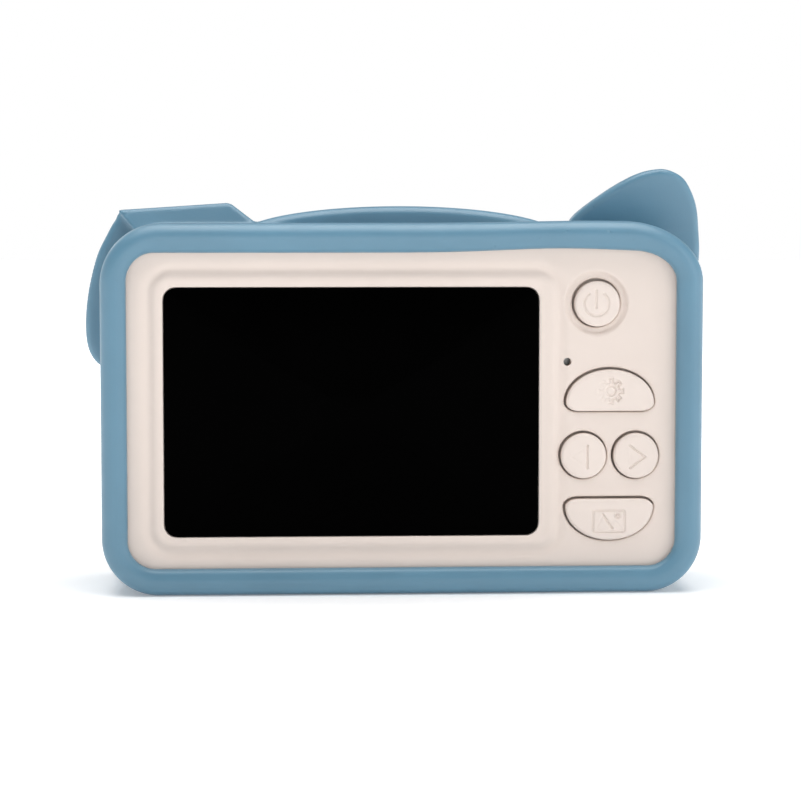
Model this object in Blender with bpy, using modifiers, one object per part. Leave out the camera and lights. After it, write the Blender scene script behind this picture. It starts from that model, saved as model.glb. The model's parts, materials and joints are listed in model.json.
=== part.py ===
"""Kids' digital camera in a soft silicone cover with one upright and one folded ear.

Frame: metres, +Z up, the screen faces -Y, the lens faces +Y, +X is to the right of
somebody looking at the screen.  The origin is the middle of the flat base of the cover.
"""
import math

import bmesh
import bpy
from mathutils import Matrix, Vector

MM = 0.001
GAP = 0.3 * MM                     # air left between pieces that touch
SIDES = 28                         # facets round a turned piece
SMALL_SIDES = 14                   # facets round a screw, stem or other small piece

# Silicone cover
COVER_HALF_WIDTH = 47.5 * MM
COVER_HEIGHT = 58.5 * MM
COVER_REAR = -14.0 * MM
COVER_FRONT = 14.0 * MM
COVER_CORNER = 9.0 * MM
COVER_WALL = 2.0 * MM
LIP_HALF_WIDTH = 43.4 * MM         # window in the rear of the cover
LIP_LOW = 4.25 * MM
LIP_HIGH = 54.1 * MM
LIP_CORNER = 4.7 * MM
LIP_DEPTH = 1.8 * MM

# Hard housing, a rear half and a front half that meet at the parting plane
HOUSING_HALF_WIDTH = COVER_HALF_WIDTH - COVER_WALL - GAP
HOUSING_LOW = COVER_WALL + GAP
HOUSING_HIGH = COVER_HEIGHT - COVER_WALL - GAP
HOUSING_REAR = COVER_REAR + LIP_DEPTH + GAP
HOUSING_FRONT = COVER_FRONT - COVER_WALL - GAP
HOUSING_CORNER = COVER_CORNER - COVER_WALL - GAP
HOUSING_WALL = 1.8 * MM
PARTING = 4.0 * MM
INNER_REAR = HOUSING_REAR + HOUSING_WALL
INNER_FRONT = HOUSING_FRONT - HOUSING_WALL
INNER_TOP = HOUSING_HIGH - HOUSING_WALL

# Screen: cover glass in a recess, liquid crystal module behind it
SCREEN_X = -8.1 * MM
SCREEN_Z = 28.85 * MM
GLASS_SIZE = (59.0 * MM, 39.2 * MM)
GLASS_CORNER = 1.9 * MM
GLASS_THICKNESS = 0.95 * MM
RECESS_DEPTH = 1.3 * MM
VIEW_SIZE = (50.0 * MM, 37.4 * MM)
LCD_SIZE = (60.26 * MM, 42.72 * MM)
LCD_CELL_THICKNESS = 1.0 * MM
LCD_BACKLIGHT_THICKNESS = 1.0 * MM

# Boards
BOARD_HALF_WIDTH = 43.0 * MM
BOARD_LOW = 9.8 * MM
BOARD_HIGH = 48.8 * MM
BOARD_REAR = -6.4 * MM
BOARD_FRONT = -5.2 * MM
CAMERA_BOARD_REAR = 2.6 * MM
CAMERA_BOARD_FRONT = 3.6 * MM

# Rear keys: place of each key's centre, (x, z)
KEY_PROUD = 0.6 * MM
KEY_TRAVEL = 0.5 * MM
KEY_CLEARANCE = 0.25 * MM
ROUND_KEY_RADIUS = 3.6 * MM
ROUND_KEY_FLANGE = 4.0 * MM
HALF_MOON_REACH = 7.0 * MM         # half the width
HALF_MOON_RISE = 5.3 * MM          # from the widest line to the top of the dome
HALF_MOON_DROP = 1.3 * MM          # from the widest line to the flat side
HALF_MOON_CORNER = 2.1 * MM        # reach of the corners of the flat side
HALF_MOON_FLANGE = 0.5 * MM        # how far the flange stands out all round
HALF_MOON_SWITCH = 1.5 * MM        # from the widest line to the middle of the switch
ROUND_KEYS = {
    "power_button": (30.55 * MM, 46.0 * MM),
    "left_button": (28.5 * MM, 21.9 * MM),
    "right_button": (36.85 * MM, 21.9 * MM),
}
HALF_MOON_KEYS = {                 # (x, z of the widest line, +1 dome up or -1 dome down)
    "settings_button": (32.7 * MM, 30.3 * MM, 1),
    "gallery_button": (32.65 * MM, 13.75 * MM, -1),
}
DISH_RADIUS = 5.1 * MM
DISH_DEPTH = 0.5 * MM
KEY_FLANGE_REAR = INNER_REAR + GAP
KEY_FLANGE_FRONT = KEY_FLANGE_REAR + 0.8 * MM

# Low profile push switches under the keys
SWITCH_WIDTH = 5.0 * MM
SWITCH_HEIGHT = 1.5 * MM
SWITCH_POCKET_RADIUS = 1.5 * MM
STEM_RADIUS = 1.15 * MM
STEM_LENGTH = 1.1 * MM

# Pinhole and microphone
PINHOLE = (26.0 * MM, 36.7 * MM)
PINHOLE_RADIUS = 0.62 * MM

# Shutter button in the top of the housing
SHUTTER_X = 17.0 * MM
SHUTTER_Y = -2.5 * MM
SHUTTER_RADIUS = 4.2 * MM
SHUTTER_TOP = COVER_HEIGHT - 0.3 * MM
SHUTTER_FLANGE_RADIUS = 5.0 * MM
SHUTTER_FLANGE_TOP = INNER_TOP - GAP
SHUTTER_FLANGE_LOW = SHUTTER_FLANGE_TOP - 0.9 * MM

# Lens and flash on the front
LENS_X = 0.0
LENS_Z = 29.25 * MM
LENS_RING_RADIUS = 15.2 * MM
LENS_RING_FRONT = 22.5 * MM
LENS_HOLE_RADIUS = 7.0 * MM
LENS_WINDOW_RADIUS = 12.2 * MM
BARREL_RADIUS = 4.0 * MM
FLASH_X = 0.0
FLASH_Z = 49.6 * MM
FLASH_RADIUS = 2.4 * MM

# Speaker behind the front wall
SPEAKER_X = 28.5 * MM
SPEAKER_Z = 20.0 * MM
SPEAKER_RADIUS = 9.0 * MM
SOUND_HOLE_RADIUS = 0.9 * MM
SOUND_HOLE_RING = 4.2 * MM
SOUND_HOLE_COUNT = 6

# Ports in the left side
USB_Z = 21.5 * MM
USB_SIZE = (7.3 * MM, 3.26 * MM, 8.94 * MM)
USB_Y = BOARD_FRONT + GAP + USB_SIZE[1] / 2
CARD_Z = 36.0 * MM
CARD_SIZE = (15.0 * MM, 1.0 * MM, 11.0 * MM)
CARD_Y = -3.7 * MM
CARD_OUTER_X = -HOUSING_HALF_WIDTH + 0.2 * MM
PORT_WINDOW_Y = (-8.0 * MM, 1.0 * MM)
PORT_WINDOW_Z = (14.2 * MM, 44.2 * MM)

# Screws
CASE_SCREWS = [(side * 41.0 * MM, z) for side in (-1, 1) for z in (6.9 * MM, 51.6 * MM)]
CASE_BOSS_RADIUS = 2.4 * MM
CASE_POST_RADIUS = 2.9 * MM
CASE_HOLE_RADIUS = 1.3 * MM
CASE_COUNTERBORE_RADIUS = 2.1 * MM
CASE_SEAT_Y = 6.9 * MM
BOARD_SCREWS = [(-40.9 * MM, 45.5 * MM), (-40.9 * MM, 13.0 * MM), (41.5 * MM, 16.7 * MM)]
BOARD_POST_RADIUS = 1.6 * MM
BOARD_HOLE_RADIUS = 0.95 * MM

# Battery
BATTERY_LOW = (-41.5 * MM, 4.1 * MM, 11.0 * MM)
BATTERY_HIGH = (-12.5 * MM, 9.6 * MM, 47.5 * MM)
WIRE_RADIUS = 0.5 * MM

# Directions that a turned piece's axis can point in
UP = Matrix.Identity(3)
REARWARD = Matrix.Rotation(math.radians(90), 3, "X")
FORWARD = Matrix.Rotation(math.radians(-90), 3, "X")

MATERIALS = {                      # name: (red, green, blue, roughness, metallic)
    "silicone_blue": (0.165, 0.305, 0.410, 0.62, 0.0),
    "abs_beige": (0.790, 0.680, 0.600, 0.45, 0.0),
    "key_beige": (0.800, 0.700, 0.620, 0.42, 0.0),
    "glass_black": (0.004, 0.004, 0.005, 0.06, 0.0),
    "glass_clear": (0.80, 0.85, 0.88, 0.04, 0.0),
    "lcd_grey": (0.05, 0.06, 0.07, 0.20, 0.0),
    "plastic_white": (0.80, 0.80, 0.78, 0.45, 0.0),
    "plastic_black": (0.012, 0.012, 0.013, 0.50, 0.0),
    "foam_black": (0.020, 0.020, 0.020, 0.95, 0.0),
    "board_green": (0.020, 0.130, 0.060, 0.45, 0.0),
    "flex_amber": (0.450, 0.200, 0.040, 0.40, 0.0),
    "steel": (0.560, 0.560, 0.550, 0.32, 1.0),
    "foil_silver": (0.620, 0.630, 0.640, 0.38, 1.0),
    "led_yellow": (0.800, 0.620, 0.150, 0.30, 0.0),
    "wire_red": (0.500, 0.020, 0.015, 0.50, 0.0),
    "wire_black": (0.015, 0.015, 0.015, 0.50, 0.0),
}


def clear_scene():
    for obj in list(bpy.data.objects):
        bpy.data.objects.remove(obj, do_unlink=True)
    for name in ("kids_camera", "cutters"):
        old = bpy.data.collections.get(name)
        if old:
            bpy.data.collections.remove(old)


def make_collection(name):
    collection = bpy.data.collections.new(name)
    bpy.context.scene.collection.children.link(collection)
    return collection


def make_material(name):
    red, green, blue, roughness, metallic = MATERIALS[name]
    material = bpy.data.materials.get(name) or bpy.data.materials.new(name)
    material.use_nodes = True
    shader = material.node_tree.nodes["Principled BSDF"]
    shader.inputs["Base Color"].default_value = (red, green, blue, 1.0)
    shader.inputs["Roughness"].default_value = roughness
    shader.inputs["Metallic"].default_value = metallic
    return material


class Kit:
    """The two collections, and the ways of making one object in them."""

    def __init__(self):
        self.parts = make_collection("kids_camera")
        self.cutters = make_collection("cutters")

    def add(self, name, bm, material=None, location=(0, 0, 0), turn=None):
        """A bmesh becomes a named part, or a cutter when it has no material."""
        mesh = bpy.data.meshes.new(name)
        bm.to_mesh(mesh)
        bm.free()
        obj = bpy.data.objects.new(name, mesh)
        obj.location = location
        if turn is not None:
            obj.rotation_euler = turn.to_euler()
        self.place(obj, material)
        return obj

    def place(self, obj, material):
        if material is None:
            self.cutters.objects.link(obj)
            obj.hide_render = True
            obj.display_type = "WIRE"
            return
        self.parts.objects.link(obj)
        obj.data.materials.append(make_material(material))

    def box(self, name, low, high, material=None, corner=0.0, axis=1, edge=0.0, segments=5):
        """A box between two corners; corner rounds the edges along axis, edge its end rims."""
        bm = bmesh.new()
        bmesh.ops.create_cube(bm, size=1.0)
        size = Vector(high) - Vector(low)
        middle = (Vector(high) + Vector(low)) / 2
        bmesh.ops.scale(bm, vec=size, verts=bm.verts)
        if corner:
            along = [e for e in bm.edges
                     if abs(e.verts[0].co[axis] - e.verts[1].co[axis]) > size[axis] * 0.9]
            bmesh.ops.bevel(bm, geom=along, offset=corner, segments=segments, profile=0.5,
                            affect="EDGES")
        if edge:
            ends = [e for e in bm.edges
                    if abs(e.verts[0].co[axis] + e.verts[1].co[axis]) > size[axis] * 0.9]
            bmesh.ops.bevel(bm, geom=ends, offset=edge, segments=3, profile=0.5,
                            affect="EDGES")
        return self.add(name, bm, material, middle)

    def turned(self, name, profile, centre, turn, material=None, steps=SIDES, closed=False):
        """A profile of (radius, height) points, top to bottom, turned about its own axis."""
        bm = bmesh.new()
        points = [bm.verts.new((radius, 0.0, height)) for radius, height in profile]
        for first, second in zip(points, points[1:]):
            bm.edges.new((first, second))
        if closed:
            bm.edges.new((points[-1], points[0]))
        obj = self.add(name, bm, material, centre, turn)
        screw = obj.modifiers.new("turn", "SCREW")
        screw.steps = steps
        screw.render_steps = steps
        screw.use_merge_vertices = True
        screw.merge_threshold = 0.01 * MM
        return obj

    def disc(self, name, radius, low, high, centre, turn, material=None, steps=SIDES):
        profile = [(0, high), (radius, high), (radius, low), (0, low)]
        return self.turned(name, profile, centre, turn, material, steps)

    def outline(self, name, points, y_low, y_high, material=None):
        """A flat outline of (x, z) points given a thickness along Y."""
        curve = bpy.data.curves.new(name, "CURVE")
        curve.dimensions = "2D"
        curve.fill_mode = "BOTH"
        curve.extrude = (y_high - y_low) / 2
        spline = curve.splines.new("POLY")
        spline.points.add(len(points) - 1)
        for point, (x, z) in zip(spline.points, points):
            point.co = (x, z, 0.0, 1.0)
        spline.use_cyclic_u = True
        guide = bpy.data.objects.new(name + "_outline", curve)
        guide.rotation_euler = REARWARD.to_euler()
        guide.location = (0.0, (y_low + y_high) / 2, 0.0)
        self.cutters.objects.link(guide)
        bpy.context.view_layer.update()
        evaluated = guide.evaluated_get(bpy.context.evaluated_depsgraph_get())
        mesh = bpy.data.meshes.new_from_object(evaluated)
        bm = bmesh.new()
        bm.from_mesh(mesh)
        bpy.data.meshes.remove(mesh)
        bmesh.ops.remove_doubles(bm, verts=bm.verts, dist=0.001 * MM)
        bmesh.ops.recalc_face_normals(bm, faces=bm.faces)
        obj = self.add(name, bm, material)
        obj.matrix_world = guide.matrix_world
        bpy.data.objects.remove(guide, do_unlink=True)
        bpy.data.curves.remove(curve)
        return obj

    def wire(self, name, route, material):
        """A round lead along a smooth curve through the points of its route."""
        curve = bpy.data.curves.new(name, "CURVE")
        curve.dimensions = "3D"
        curve.bevel_depth = WIRE_RADIUS
        curve.bevel_resolution = 2
        curve.use_fill_caps = True
        points = smooth_points(route)
        spline = curve.splines.new("POLY")
        spline.points.add(len(points) - 1)
        for point, place in zip(spline.points, points):
            point.co = (*place, 1.0)
        obj = bpy.data.objects.new(name, curve)
        self.place(obj, material)
        return obj

    def ribbon(self, name, route, x_low, x_high, material):
        """A flat cable whose middle line is a route of (y, z) points."""
        bm = bmesh.new()
        rail = [bm.verts.new((x_low, y, z)) for y, z in route]
        edges = [bm.edges.new(pair) for pair in zip(rail, rail[1:])]
        swept = bmesh.ops.extrude_edge_only(bm, edges=edges)
        moved = [v for v in swept["geom"] if isinstance(v, bmesh.types.BMVert)]
        bmesh.ops.translate(bm, vec=(x_high - x_low, 0, 0), verts=moved)
        obj = self.add(name, bm, material)
        solidify = obj.modifiers.new("thickness", "SOLIDIFY")
        solidify.thickness = 0.25 * MM
        solidify.offset = 0.0
        solidify.use_even_offset = True
        return obj

    def combine(self, target, other, operation):
        step = target.modifiers.new(operation.lower() + "_" + other.name, "BOOLEAN")
        step.operation = operation
        step.solver = "EXACT"
        step.object = other

    def cut(self, target, *others):
        for other in others:
            self.combine(target, other, "DIFFERENCE")

    def join(self, target, *others):
        for other in others:
            self.combine(target, other, "UNION")


def smooth_points(route, steps=5):
    """Points along a Catmull-Rom curve through a route."""
    places = [Vector(place) for place in route]
    padded = [2 * places[0] - places[1], *places, 2 * places[-1] - places[-2]]
    points = []
    for a, b, c, d in zip(padded, padded[1:], padded[2:], padded[3:]):
        for step in range(steps):
            t = step / steps
            points.append(0.5 * (2 * b + (c - a) * t + (2 * a - 5 * b + 4 * c - d) * t ** 2
                                 + (3 * b - a - 3 * c + d) * t ** 3))
    points.append(places[-1])
    return points


def arc(centre_x, centre_z, reach, rise, start, end, steps):
    """Points on an ellipse's arc from start to end, both in degrees."""
    angles = [math.radians(start + (end - start) * i / steps) for i in range(steps + 1)]
    return [(centre_x + reach * math.cos(a), centre_z + rise * math.sin(a)) for a in angles]


def half_moon(x, z, side, grow=0.0):
    """Half an ellipse with rounded corners at its flat side, dome up for side +1."""
    reach, rise = HALF_MOON_REACH + grow, HALF_MOON_RISE + grow
    corner, drop = HALF_MOON_CORNER + grow, HALF_MOON_DROP + grow
    points = arc(0, 0, reach, rise, 0, 180, 16)
    points += arc(corner - reach, 0, corner, drop, 180, 270, 4)[1:]
    points += arc(reach - corner, 0, corner, drop, 270, 360, 4)[:-1]
    return [(x + px, z + side * pz) for px, pz in points]


def make_cover(kit):
    """One silicone moulding: five walls, a rear lip, a low hump on top and two ears."""
    cover = kit.box("silicone_cover", (-COVER_HALF_WIDTH, COVER_REAR, 0.0),
                    (COVER_HALF_WIDTH, COVER_FRONT, COVER_HEIGHT), "silicone_blue",
                    corner=COVER_CORNER, edge=1.9 * MM, segments=7)
    kit.join(cover, make_hump(kit), make_upright_ear(kit), *make_folded_ear(kit))
    cavity = kit.box("cover_cavity",
                     (-HOUSING_HALF_WIDTH - GAP, HOUSING_REAR - GAP, HOUSING_LOW - GAP),
                     (HOUSING_HALF_WIDTH + GAP, HOUSING_FRONT + GAP, HOUSING_HIGH + GAP),
                     corner=HOUSING_CORNER + GAP, segments=7)
    window = kit.box("cover_window", (-LIP_HALF_WIDTH, COVER_REAR - 2 * MM, LIP_LOW),
                     (LIP_HALF_WIDTH, HOUSING_REAR + 1 * MM, LIP_HIGH), corner=LIP_CORNER)
    ports = kit.box("cover_ports",
                    (-COVER_HALF_WIDTH - 1 * MM, PORT_WINDOW_Y[0], PORT_WINDOW_Z[0]),
                    (-COVER_HALF_WIDTH + 3 * MM, PORT_WINDOW_Y[1], PORT_WINDOW_Z[1]),
                    corner=2.5 * MM, axis=0, segments=4)
    lens = kit.disc("cover_lens_hole", LENS_RING_RADIUS + GAP, -2 * MM, 4 * MM,
                    (LENS_X, COVER_FRONT - COVER_WALL, LENS_Z), FORWARD, steps=36)
    flash = kit.disc("cover_flash_hole", FLASH_RADIUS + 0.6 * MM, -1 * MM, 4 * MM,
                     (FLASH_X, COVER_FRONT - COVER_WALL, FLASH_Z), FORWARD, steps=SMALL_SIDES)
    shutter = kit.disc("cover_shutter_hole", SHUTTER_RADIUS + 0.8 * MM, -1 * MM, 8 * MM,
                       (SHUTTER_X, SHUTTER_Y, COVER_HEIGHT - COVER_WALL), UP)
    sound = make_sound_holes(kit, "cover_sound_holes", COVER_FRONT - COVER_WALL - 1 * MM,
                             COVER_FRONT + 1 * MM)
    kit.cut(cover, cavity, window, ports, lens, flash, shutter, sound)


def make_hump(kit):
    """The low swelling in the middle of the top."""
    bm = bmesh.new()
    bmesh.ops.create_uvsphere(bm, u_segments=32, v_segments=16, radius=1.0)
    bmesh.ops.scale(bm, vec=(25.0 * MM, 8.0 * MM, 5.0 * MM), verts=bm.verts)
    return kit.add("cover_hump", bm, None, (0.0, 5.4 * MM, COVER_HEIGHT - 2.2 * MM))


def make_upright_ear(kit):
    """The right ear: a leaf that stands on the corner of the cover."""
    tip = arc(43.6 * MM, 63.0 * MM, 4.4 * MM, 4.4 * MM, 20, 115, 6)
    points = [(45.6 * MM, 44.0 * MM), (49.4 * MM, 51.5 * MM), (49.2 * MM, 58.0 * MM), *tip,
              (38.2 * MM, 65.8 * MM), (33.3 * MM, 62.6 * MM), (28.6 * MM, 58.2 * MM),
              (29.0 * MM, 57.2 * MM), (42.0 * MM, 52.0 * MM)]
    return kit.outline("cover_upright_ear", points, -0.5 * MM, 3.7 * MM)


def make_folded_ear(kit):
    """The left ear: a root slab on the top that folds over and hangs before the front."""
    root = kit.box("cover_ear_root", (-45.0 * MM, 8.6 * MM, 56.9 * MM),
                   (-27.0 * MM, 18.3 * MM, 61.4 * MM), corner=1.4 * MM, axis=0, segments=3)
    outer_edge = [(-45.5 * MM, 61.0 * MM), (-48.6 * MM, 57.0 * MM), (-50.8 * MM, 51.0 * MM),
                  (-52.0 * MM, 43.5 * MM), (-51.6 * MM, 37.6 * MM)]
    tip = arc(-47.6 * MM, 37.0 * MM, 3.9 * MM, 3.9 * MM, 190, 300, 5)
    inner_edge = [(-38.0 * MM, 41.5 * MM), (-31.5 * MM, 50.5 * MM), (-28.0 * MM, 61.0 * MM)]
    flap = kit.outline("cover_ear_flap", outer_edge + tip + inner_edge, 15.2 * MM, 18.4 * MM)
    return root, flap


def make_sound_holes(kit, name, y_low, y_high):
    """A ring of small holes and one in the middle, in front of the speaker."""
    places = [(0.0, 0.0)] + [(SOUND_HOLE_RING * math.cos(a), SOUND_HOLE_RING * math.sin(a))
                             for a in (2 * math.pi * i / SOUND_HOLE_COUNT
                                       for i in range(SOUND_HOLE_COUNT))]
    bm = bmesh.new()
    for x, z in places:
        place = Matrix.Translation((SPEAKER_X + x, (y_low + y_high) / 2, SPEAKER_Z + z))
        bmesh.ops.create_cone(bm, cap_ends=True, segments=10, radius1=SOUND_HOLE_RADIUS,
                              radius2=SOUND_HOLE_RADIUS, depth=y_high - y_low,
                              matrix=place @ REARWARD.to_4x4())
    return kit.add(name, bm)


def make_posts(kit, name, places, radius, y_low, y_high, steps=16):
    """One post or one hole at each place, all in one object."""
    bm = bmesh.new()
    for x, z in places:
        place = Matrix.Translation((x, (y_low + y_high) / 2, z))
        bmesh.ops.create_cone(bm, cap_ends=True, segments=steps, radius1=radius,
                              radius2=radius, depth=y_high - y_low,
                              matrix=place @ REARWARD.to_4x4())
    return kit.add(name, bm)


def make_rear_housing(kit):
    """The deep half with the screen window, the key holes, the bosses and the ports."""
    low = (-HOUSING_HALF_WIDTH, HOUSING_REAR, HOUSING_LOW)
    high = (HOUSING_HALF_WIDTH, PARTING - GAP / 2, HOUSING_HIGH)
    rear = kit.box("rear_housing", low, high, "abs_beige", corner=HOUSING_CORNER, segments=7)
    hollow = kit.box("rear_hollow",
                     (low[0] + HOUSING_WALL, INNER_REAR, low[2] + HOUSING_WALL),
                     (high[0] - HOUSING_WALL, high[1] + 1 * MM, high[2] - HOUSING_WALL),
                     corner=HOUSING_CORNER - HOUSING_WALL, segments=7)
    kit.cut(rear, hollow)
    kit.join(rear, make_posts(kit, "rear_bosses", CASE_SCREWS, CASE_BOSS_RADIUS,
                              INNER_REAR - 0.6 * MM, PARTING - GAP / 2 - 0.05 * MM),
             make_posts(kit, "rear_board_posts", BOARD_SCREWS, BOARD_POST_RADIUS,
                        INNER_REAR - 0.6 * MM, BOARD_REAR - GAP))
    kit.cut(rear, make_posts(kit, "rear_boss_holes", CASE_SCREWS, CASE_HOLE_RADIUS,
                             -6.0 * MM, PARTING + 1 * MM, 12),
            make_posts(kit, "rear_post_holes", BOARD_SCREWS, BOARD_HOLE_RADIUS,
                       INNER_REAR + 0.2 * MM, BOARD_REAR + 1 * MM, 12))
    cut_screen_window(kit, rear)
    cut_key_holes(kit, rear)
    cut_port_slots(kit, rear)
    kit.cut(rear, kit.disc("rear_shutter_hole", SHUTTER_RADIUS + GAP, -2 * MM, 4 * MM,
                           (SHUTTER_X, SHUTTER_Y, INNER_TOP), UP))


def cut_screen_window(kit, rear):
    half_x, half_z = GLASS_SIZE[0] / 2 + GAP, GLASS_SIZE[1] / 2 + GAP
    recess = kit.box("rear_glass_recess",
                     (SCREEN_X - half_x, HOUSING_REAR - 1 * MM, SCREEN_Z - half_z),
                     (SCREEN_X + half_x, HOUSING_REAR + RECESS_DEPTH, SCREEN_Z + half_z),
                     corner=GLASS_CORNER + GAP, segments=4)
    view = kit.box("rear_view_opening",
                   (SCREEN_X - VIEW_SIZE[0] / 2, HOUSING_REAR, SCREEN_Z - VIEW_SIZE[1] / 2),
                   (SCREEN_X + VIEW_SIZE[0] / 2, INNER_REAR + 1 * MM,
                    SCREEN_Z + VIEW_SIZE[1] / 2))
    kit.cut(rear, recess, view)


def cut_key_holes(kit, rear):
    """Holes for the keys, the power key's in the middle of a shallow dish."""
    through = (HOUSING_REAR - 1 * MM, INNER_REAR + 1 * MM)
    hole = ROUND_KEY_RADIUS + KEY_CLEARANCE
    for name, (x, z) in ROUND_KEYS.items():
        profile = [(0, 1 * MM), (hole, 1 * MM), (hole, HOUSING_REAR - through[1]),
                   (0, HOUSING_REAR - through[1])]
        if name == "power_button":
            profile[1:2] = [(DISH_RADIUS + 1.2 * MM, 1 * MM), (DISH_RADIUS, 0),
                            (DISH_RADIUS - 0.6 * MM, -DISH_DEPTH), (hole, -DISH_DEPTH)]
        kit.cut(rear, kit.turned(name + "_hole", profile, (x, HOUSING_REAR, z), REARWARD))
    for name, (x, z, side) in HALF_MOON_KEYS.items():
        kit.cut(rear, kit.outline(name + "_hole", half_moon(x, z, side, KEY_CLEARANCE),
                                  *through))
    kit.cut(rear, make_posts(kit, "rear_pinhole", [PINHOLE], PINHOLE_RADIUS, *through, 10))


def cut_port_slots(kit, rear):
    outer, inner = -HOUSING_HALF_WIDTH - 1 * MM, -HOUSING_HALF_WIDTH + HOUSING_WALL + 1 * MM
    usb = kit.box("rear_usb_slot",
                  (outer, USB_Y - USB_SIZE[1] / 2 - GAP, USB_Z - USB_SIZE[2] / 2 - GAP),
                  (inner, USB_Y + USB_SIZE[1] / 2 + GAP, USB_Z + USB_SIZE[2] / 2 + GAP),
                  corner=1.5 * MM, axis=0, segments=4)
    card = kit.box("rear_card_slot",
                   (outer, CARD_Y - CARD_SIZE[1] / 2 - GAP, CARD_Z - CARD_SIZE[2] / 2 - GAP),
                   (inner, CARD_Y + CARD_SIZE[1] / 2 + GAP, CARD_Z + CARD_SIZE[2] / 2 + GAP))
    kit.cut(rear, usb, card)


def make_front_housing(kit):
    """The shallow half with the lens hole, the flash hole, sound holes and screw posts."""
    low = (-HOUSING_HALF_WIDTH, PARTING + GAP / 2, HOUSING_LOW)
    high = (HOUSING_HALF_WIDTH, HOUSING_FRONT, HOUSING_HIGH)
    front = kit.box("front_housing", low, high, "abs_beige", corner=HOUSING_CORNER,
                    segments=7)
    hollow = kit.box("front_hollow",
                     (low[0] + HOUSING_WALL, low[1] - 1 * MM, low[2] + HOUSING_WALL),
                     (high[0] - HOUSING_WALL, INNER_FRONT, high[2] - HOUSING_WALL),
                     corner=HOUSING_CORNER - HOUSING_WALL, segments=7)
    kit.cut(front, hollow)
    kit.join(front, make_posts(kit, "front_posts", CASE_SCREWS, CASE_POST_RADIUS,
                               PARTING + GAP / 2 + 0.05 * MM, INNER_FRONT + 0.6 * MM))
    kit.cut(front,
            make_posts(kit, "front_screw_holes", CASE_SCREWS, CASE_HOLE_RADIUS,
                       PARTING - 1 * MM, CASE_SEAT_Y + 1 * MM, 12),
            make_posts(kit, "front_counterbores", CASE_SCREWS, CASE_COUNTERBORE_RADIUS,
                       CASE_SEAT_Y, HOUSING_FRONT + 1 * MM),
            kit.disc("front_lens_hole", LENS_HOLE_RADIUS, -1 * MM, 4 * MM,
                     (LENS_X, INNER_FRONT, LENS_Z), FORWARD),
            kit.disc("front_flash_hole", FLASH_RADIUS + GAP, -1 * MM, 4 * MM,
                     (FLASH_X, INNER_FRONT, FLASH_Z), FORWARD, steps=SMALL_SIDES),
            make_sound_holes(kit, "front_sound_holes", INNER_FRONT - 1 * MM,
                             HOUSING_FRONT + 1 * MM))


def make_screen(kit):
    """Cover glass, liquid crystal cell, backlight, foam, flat cable and its connector."""
    glass_y = HOUSING_REAR + 0.05 * MM
    panel(kit, "screen_window", GLASS_SIZE, glass_y, GLASS_THICKNESS, "glass_black",
          GLASS_CORNER)
    cell_y = INNER_REAR + GAP
    panel(kit, "lcd_cell", LCD_SIZE, cell_y, LCD_CELL_THICKNESS, "lcd_grey")
    light_y = cell_y + LCD_CELL_THICKNESS + GAP
    panel(kit, "lcd_backlight", LCD_SIZE, light_y, LCD_BACKLIGHT_THICKNESS, "plastic_white")
    foam_y = light_y + LCD_BACKLIGHT_THICKNESS + 0.2 * MM
    panel(kit, "lcd_foam_pad", (54 * MM, 34 * MM), foam_y, BOARD_REAR - 0.2 * MM - foam_y,
          "foam_black")
    cable_low = BOARD_LOW - 3.6 * MM
    route = [(cell_y + 0.6 * MM, SCREEN_Z - LCD_SIZE[1] / 2 - 0.4 * MM),
             (cell_y + 0.9 * MM, cable_low + 0.3 * MM), (BOARD_REAR - 1.0 * MM, cable_low),
             (BOARD_FRONT - 0.2 * MM, cable_low), (BOARD_FRONT + 0.9 * MM, cable_low + 0.9 * MM),
             (BOARD_FRONT + 0.9 * MM, BOARD_LOW + 2.0 * MM)]
    kit.ribbon("lcd_flex", route, SCREEN_X - 9 * MM, SCREEN_X + 9 * MM, "flex_amber")
    kit.box("lcd_connector",
            (SCREEN_X - 10 * MM, BOARD_FRONT + GAP, BOARD_LOW + 2.4 * MM),
            (SCREEN_X + 10 * MM, BOARD_FRONT + 1.6 * MM, BOARD_LOW + 6.4 * MM),
            "plastic_white")


def panel(kit, name, size, y_low, thickness, material, corner=0.0):
    """A flat plate centred on the screen."""
    return kit.box(name, (SCREEN_X - size[0] / 2, y_low, SCREEN_Z - size[1] / 2),
                   (SCREEN_X + size[0] / 2, y_low + thickness, SCREEN_Z + size[1] / 2),
                   material, corner=corner, segments=4)


def make_keys(kit):
    """Rear key caps with their retaining flanges, and a push switch behind each."""
    top = HOUSING_REAR - KEY_PROUD
    for name, (x, z) in ROUND_KEYS.items():
        face = HOUSING_REAR - KEY_FLANGE_REAR
        profile = [(0, KEY_PROUD), (ROUND_KEY_RADIUS - 0.4 * MM, KEY_PROUD),
                   (ROUND_KEY_RADIUS, KEY_PROUD - 0.4 * MM), (ROUND_KEY_RADIUS, face),
                   (ROUND_KEY_FLANGE, face), (ROUND_KEY_FLANGE, face - 0.8 * MM),
                   (0, face - 0.8 * MM)]
        kit.turned(name, profile, (x, HOUSING_REAR, z), REARWARD, "key_beige")
        make_switch(kit, name, (x, KEY_FLANGE_FRONT, z), REARWARD)
    for name, (x, z, side) in HALF_MOON_KEYS.items():
        cap = kit.outline(name, half_moon(x, z, side), top, KEY_FLANGE_FRONT - 0.2 * MM,
                          "key_beige")
        kit.join(cap, kit.outline(name + "_flange", half_moon(x, z, side, HALF_MOON_FLANGE),
                                  KEY_FLANGE_REAR, KEY_FLANGE_FRONT))
        make_switch(kit, name, (x, KEY_FLANGE_FRONT, z + side * HALF_MOON_SWITCH), REARWARD)


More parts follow.
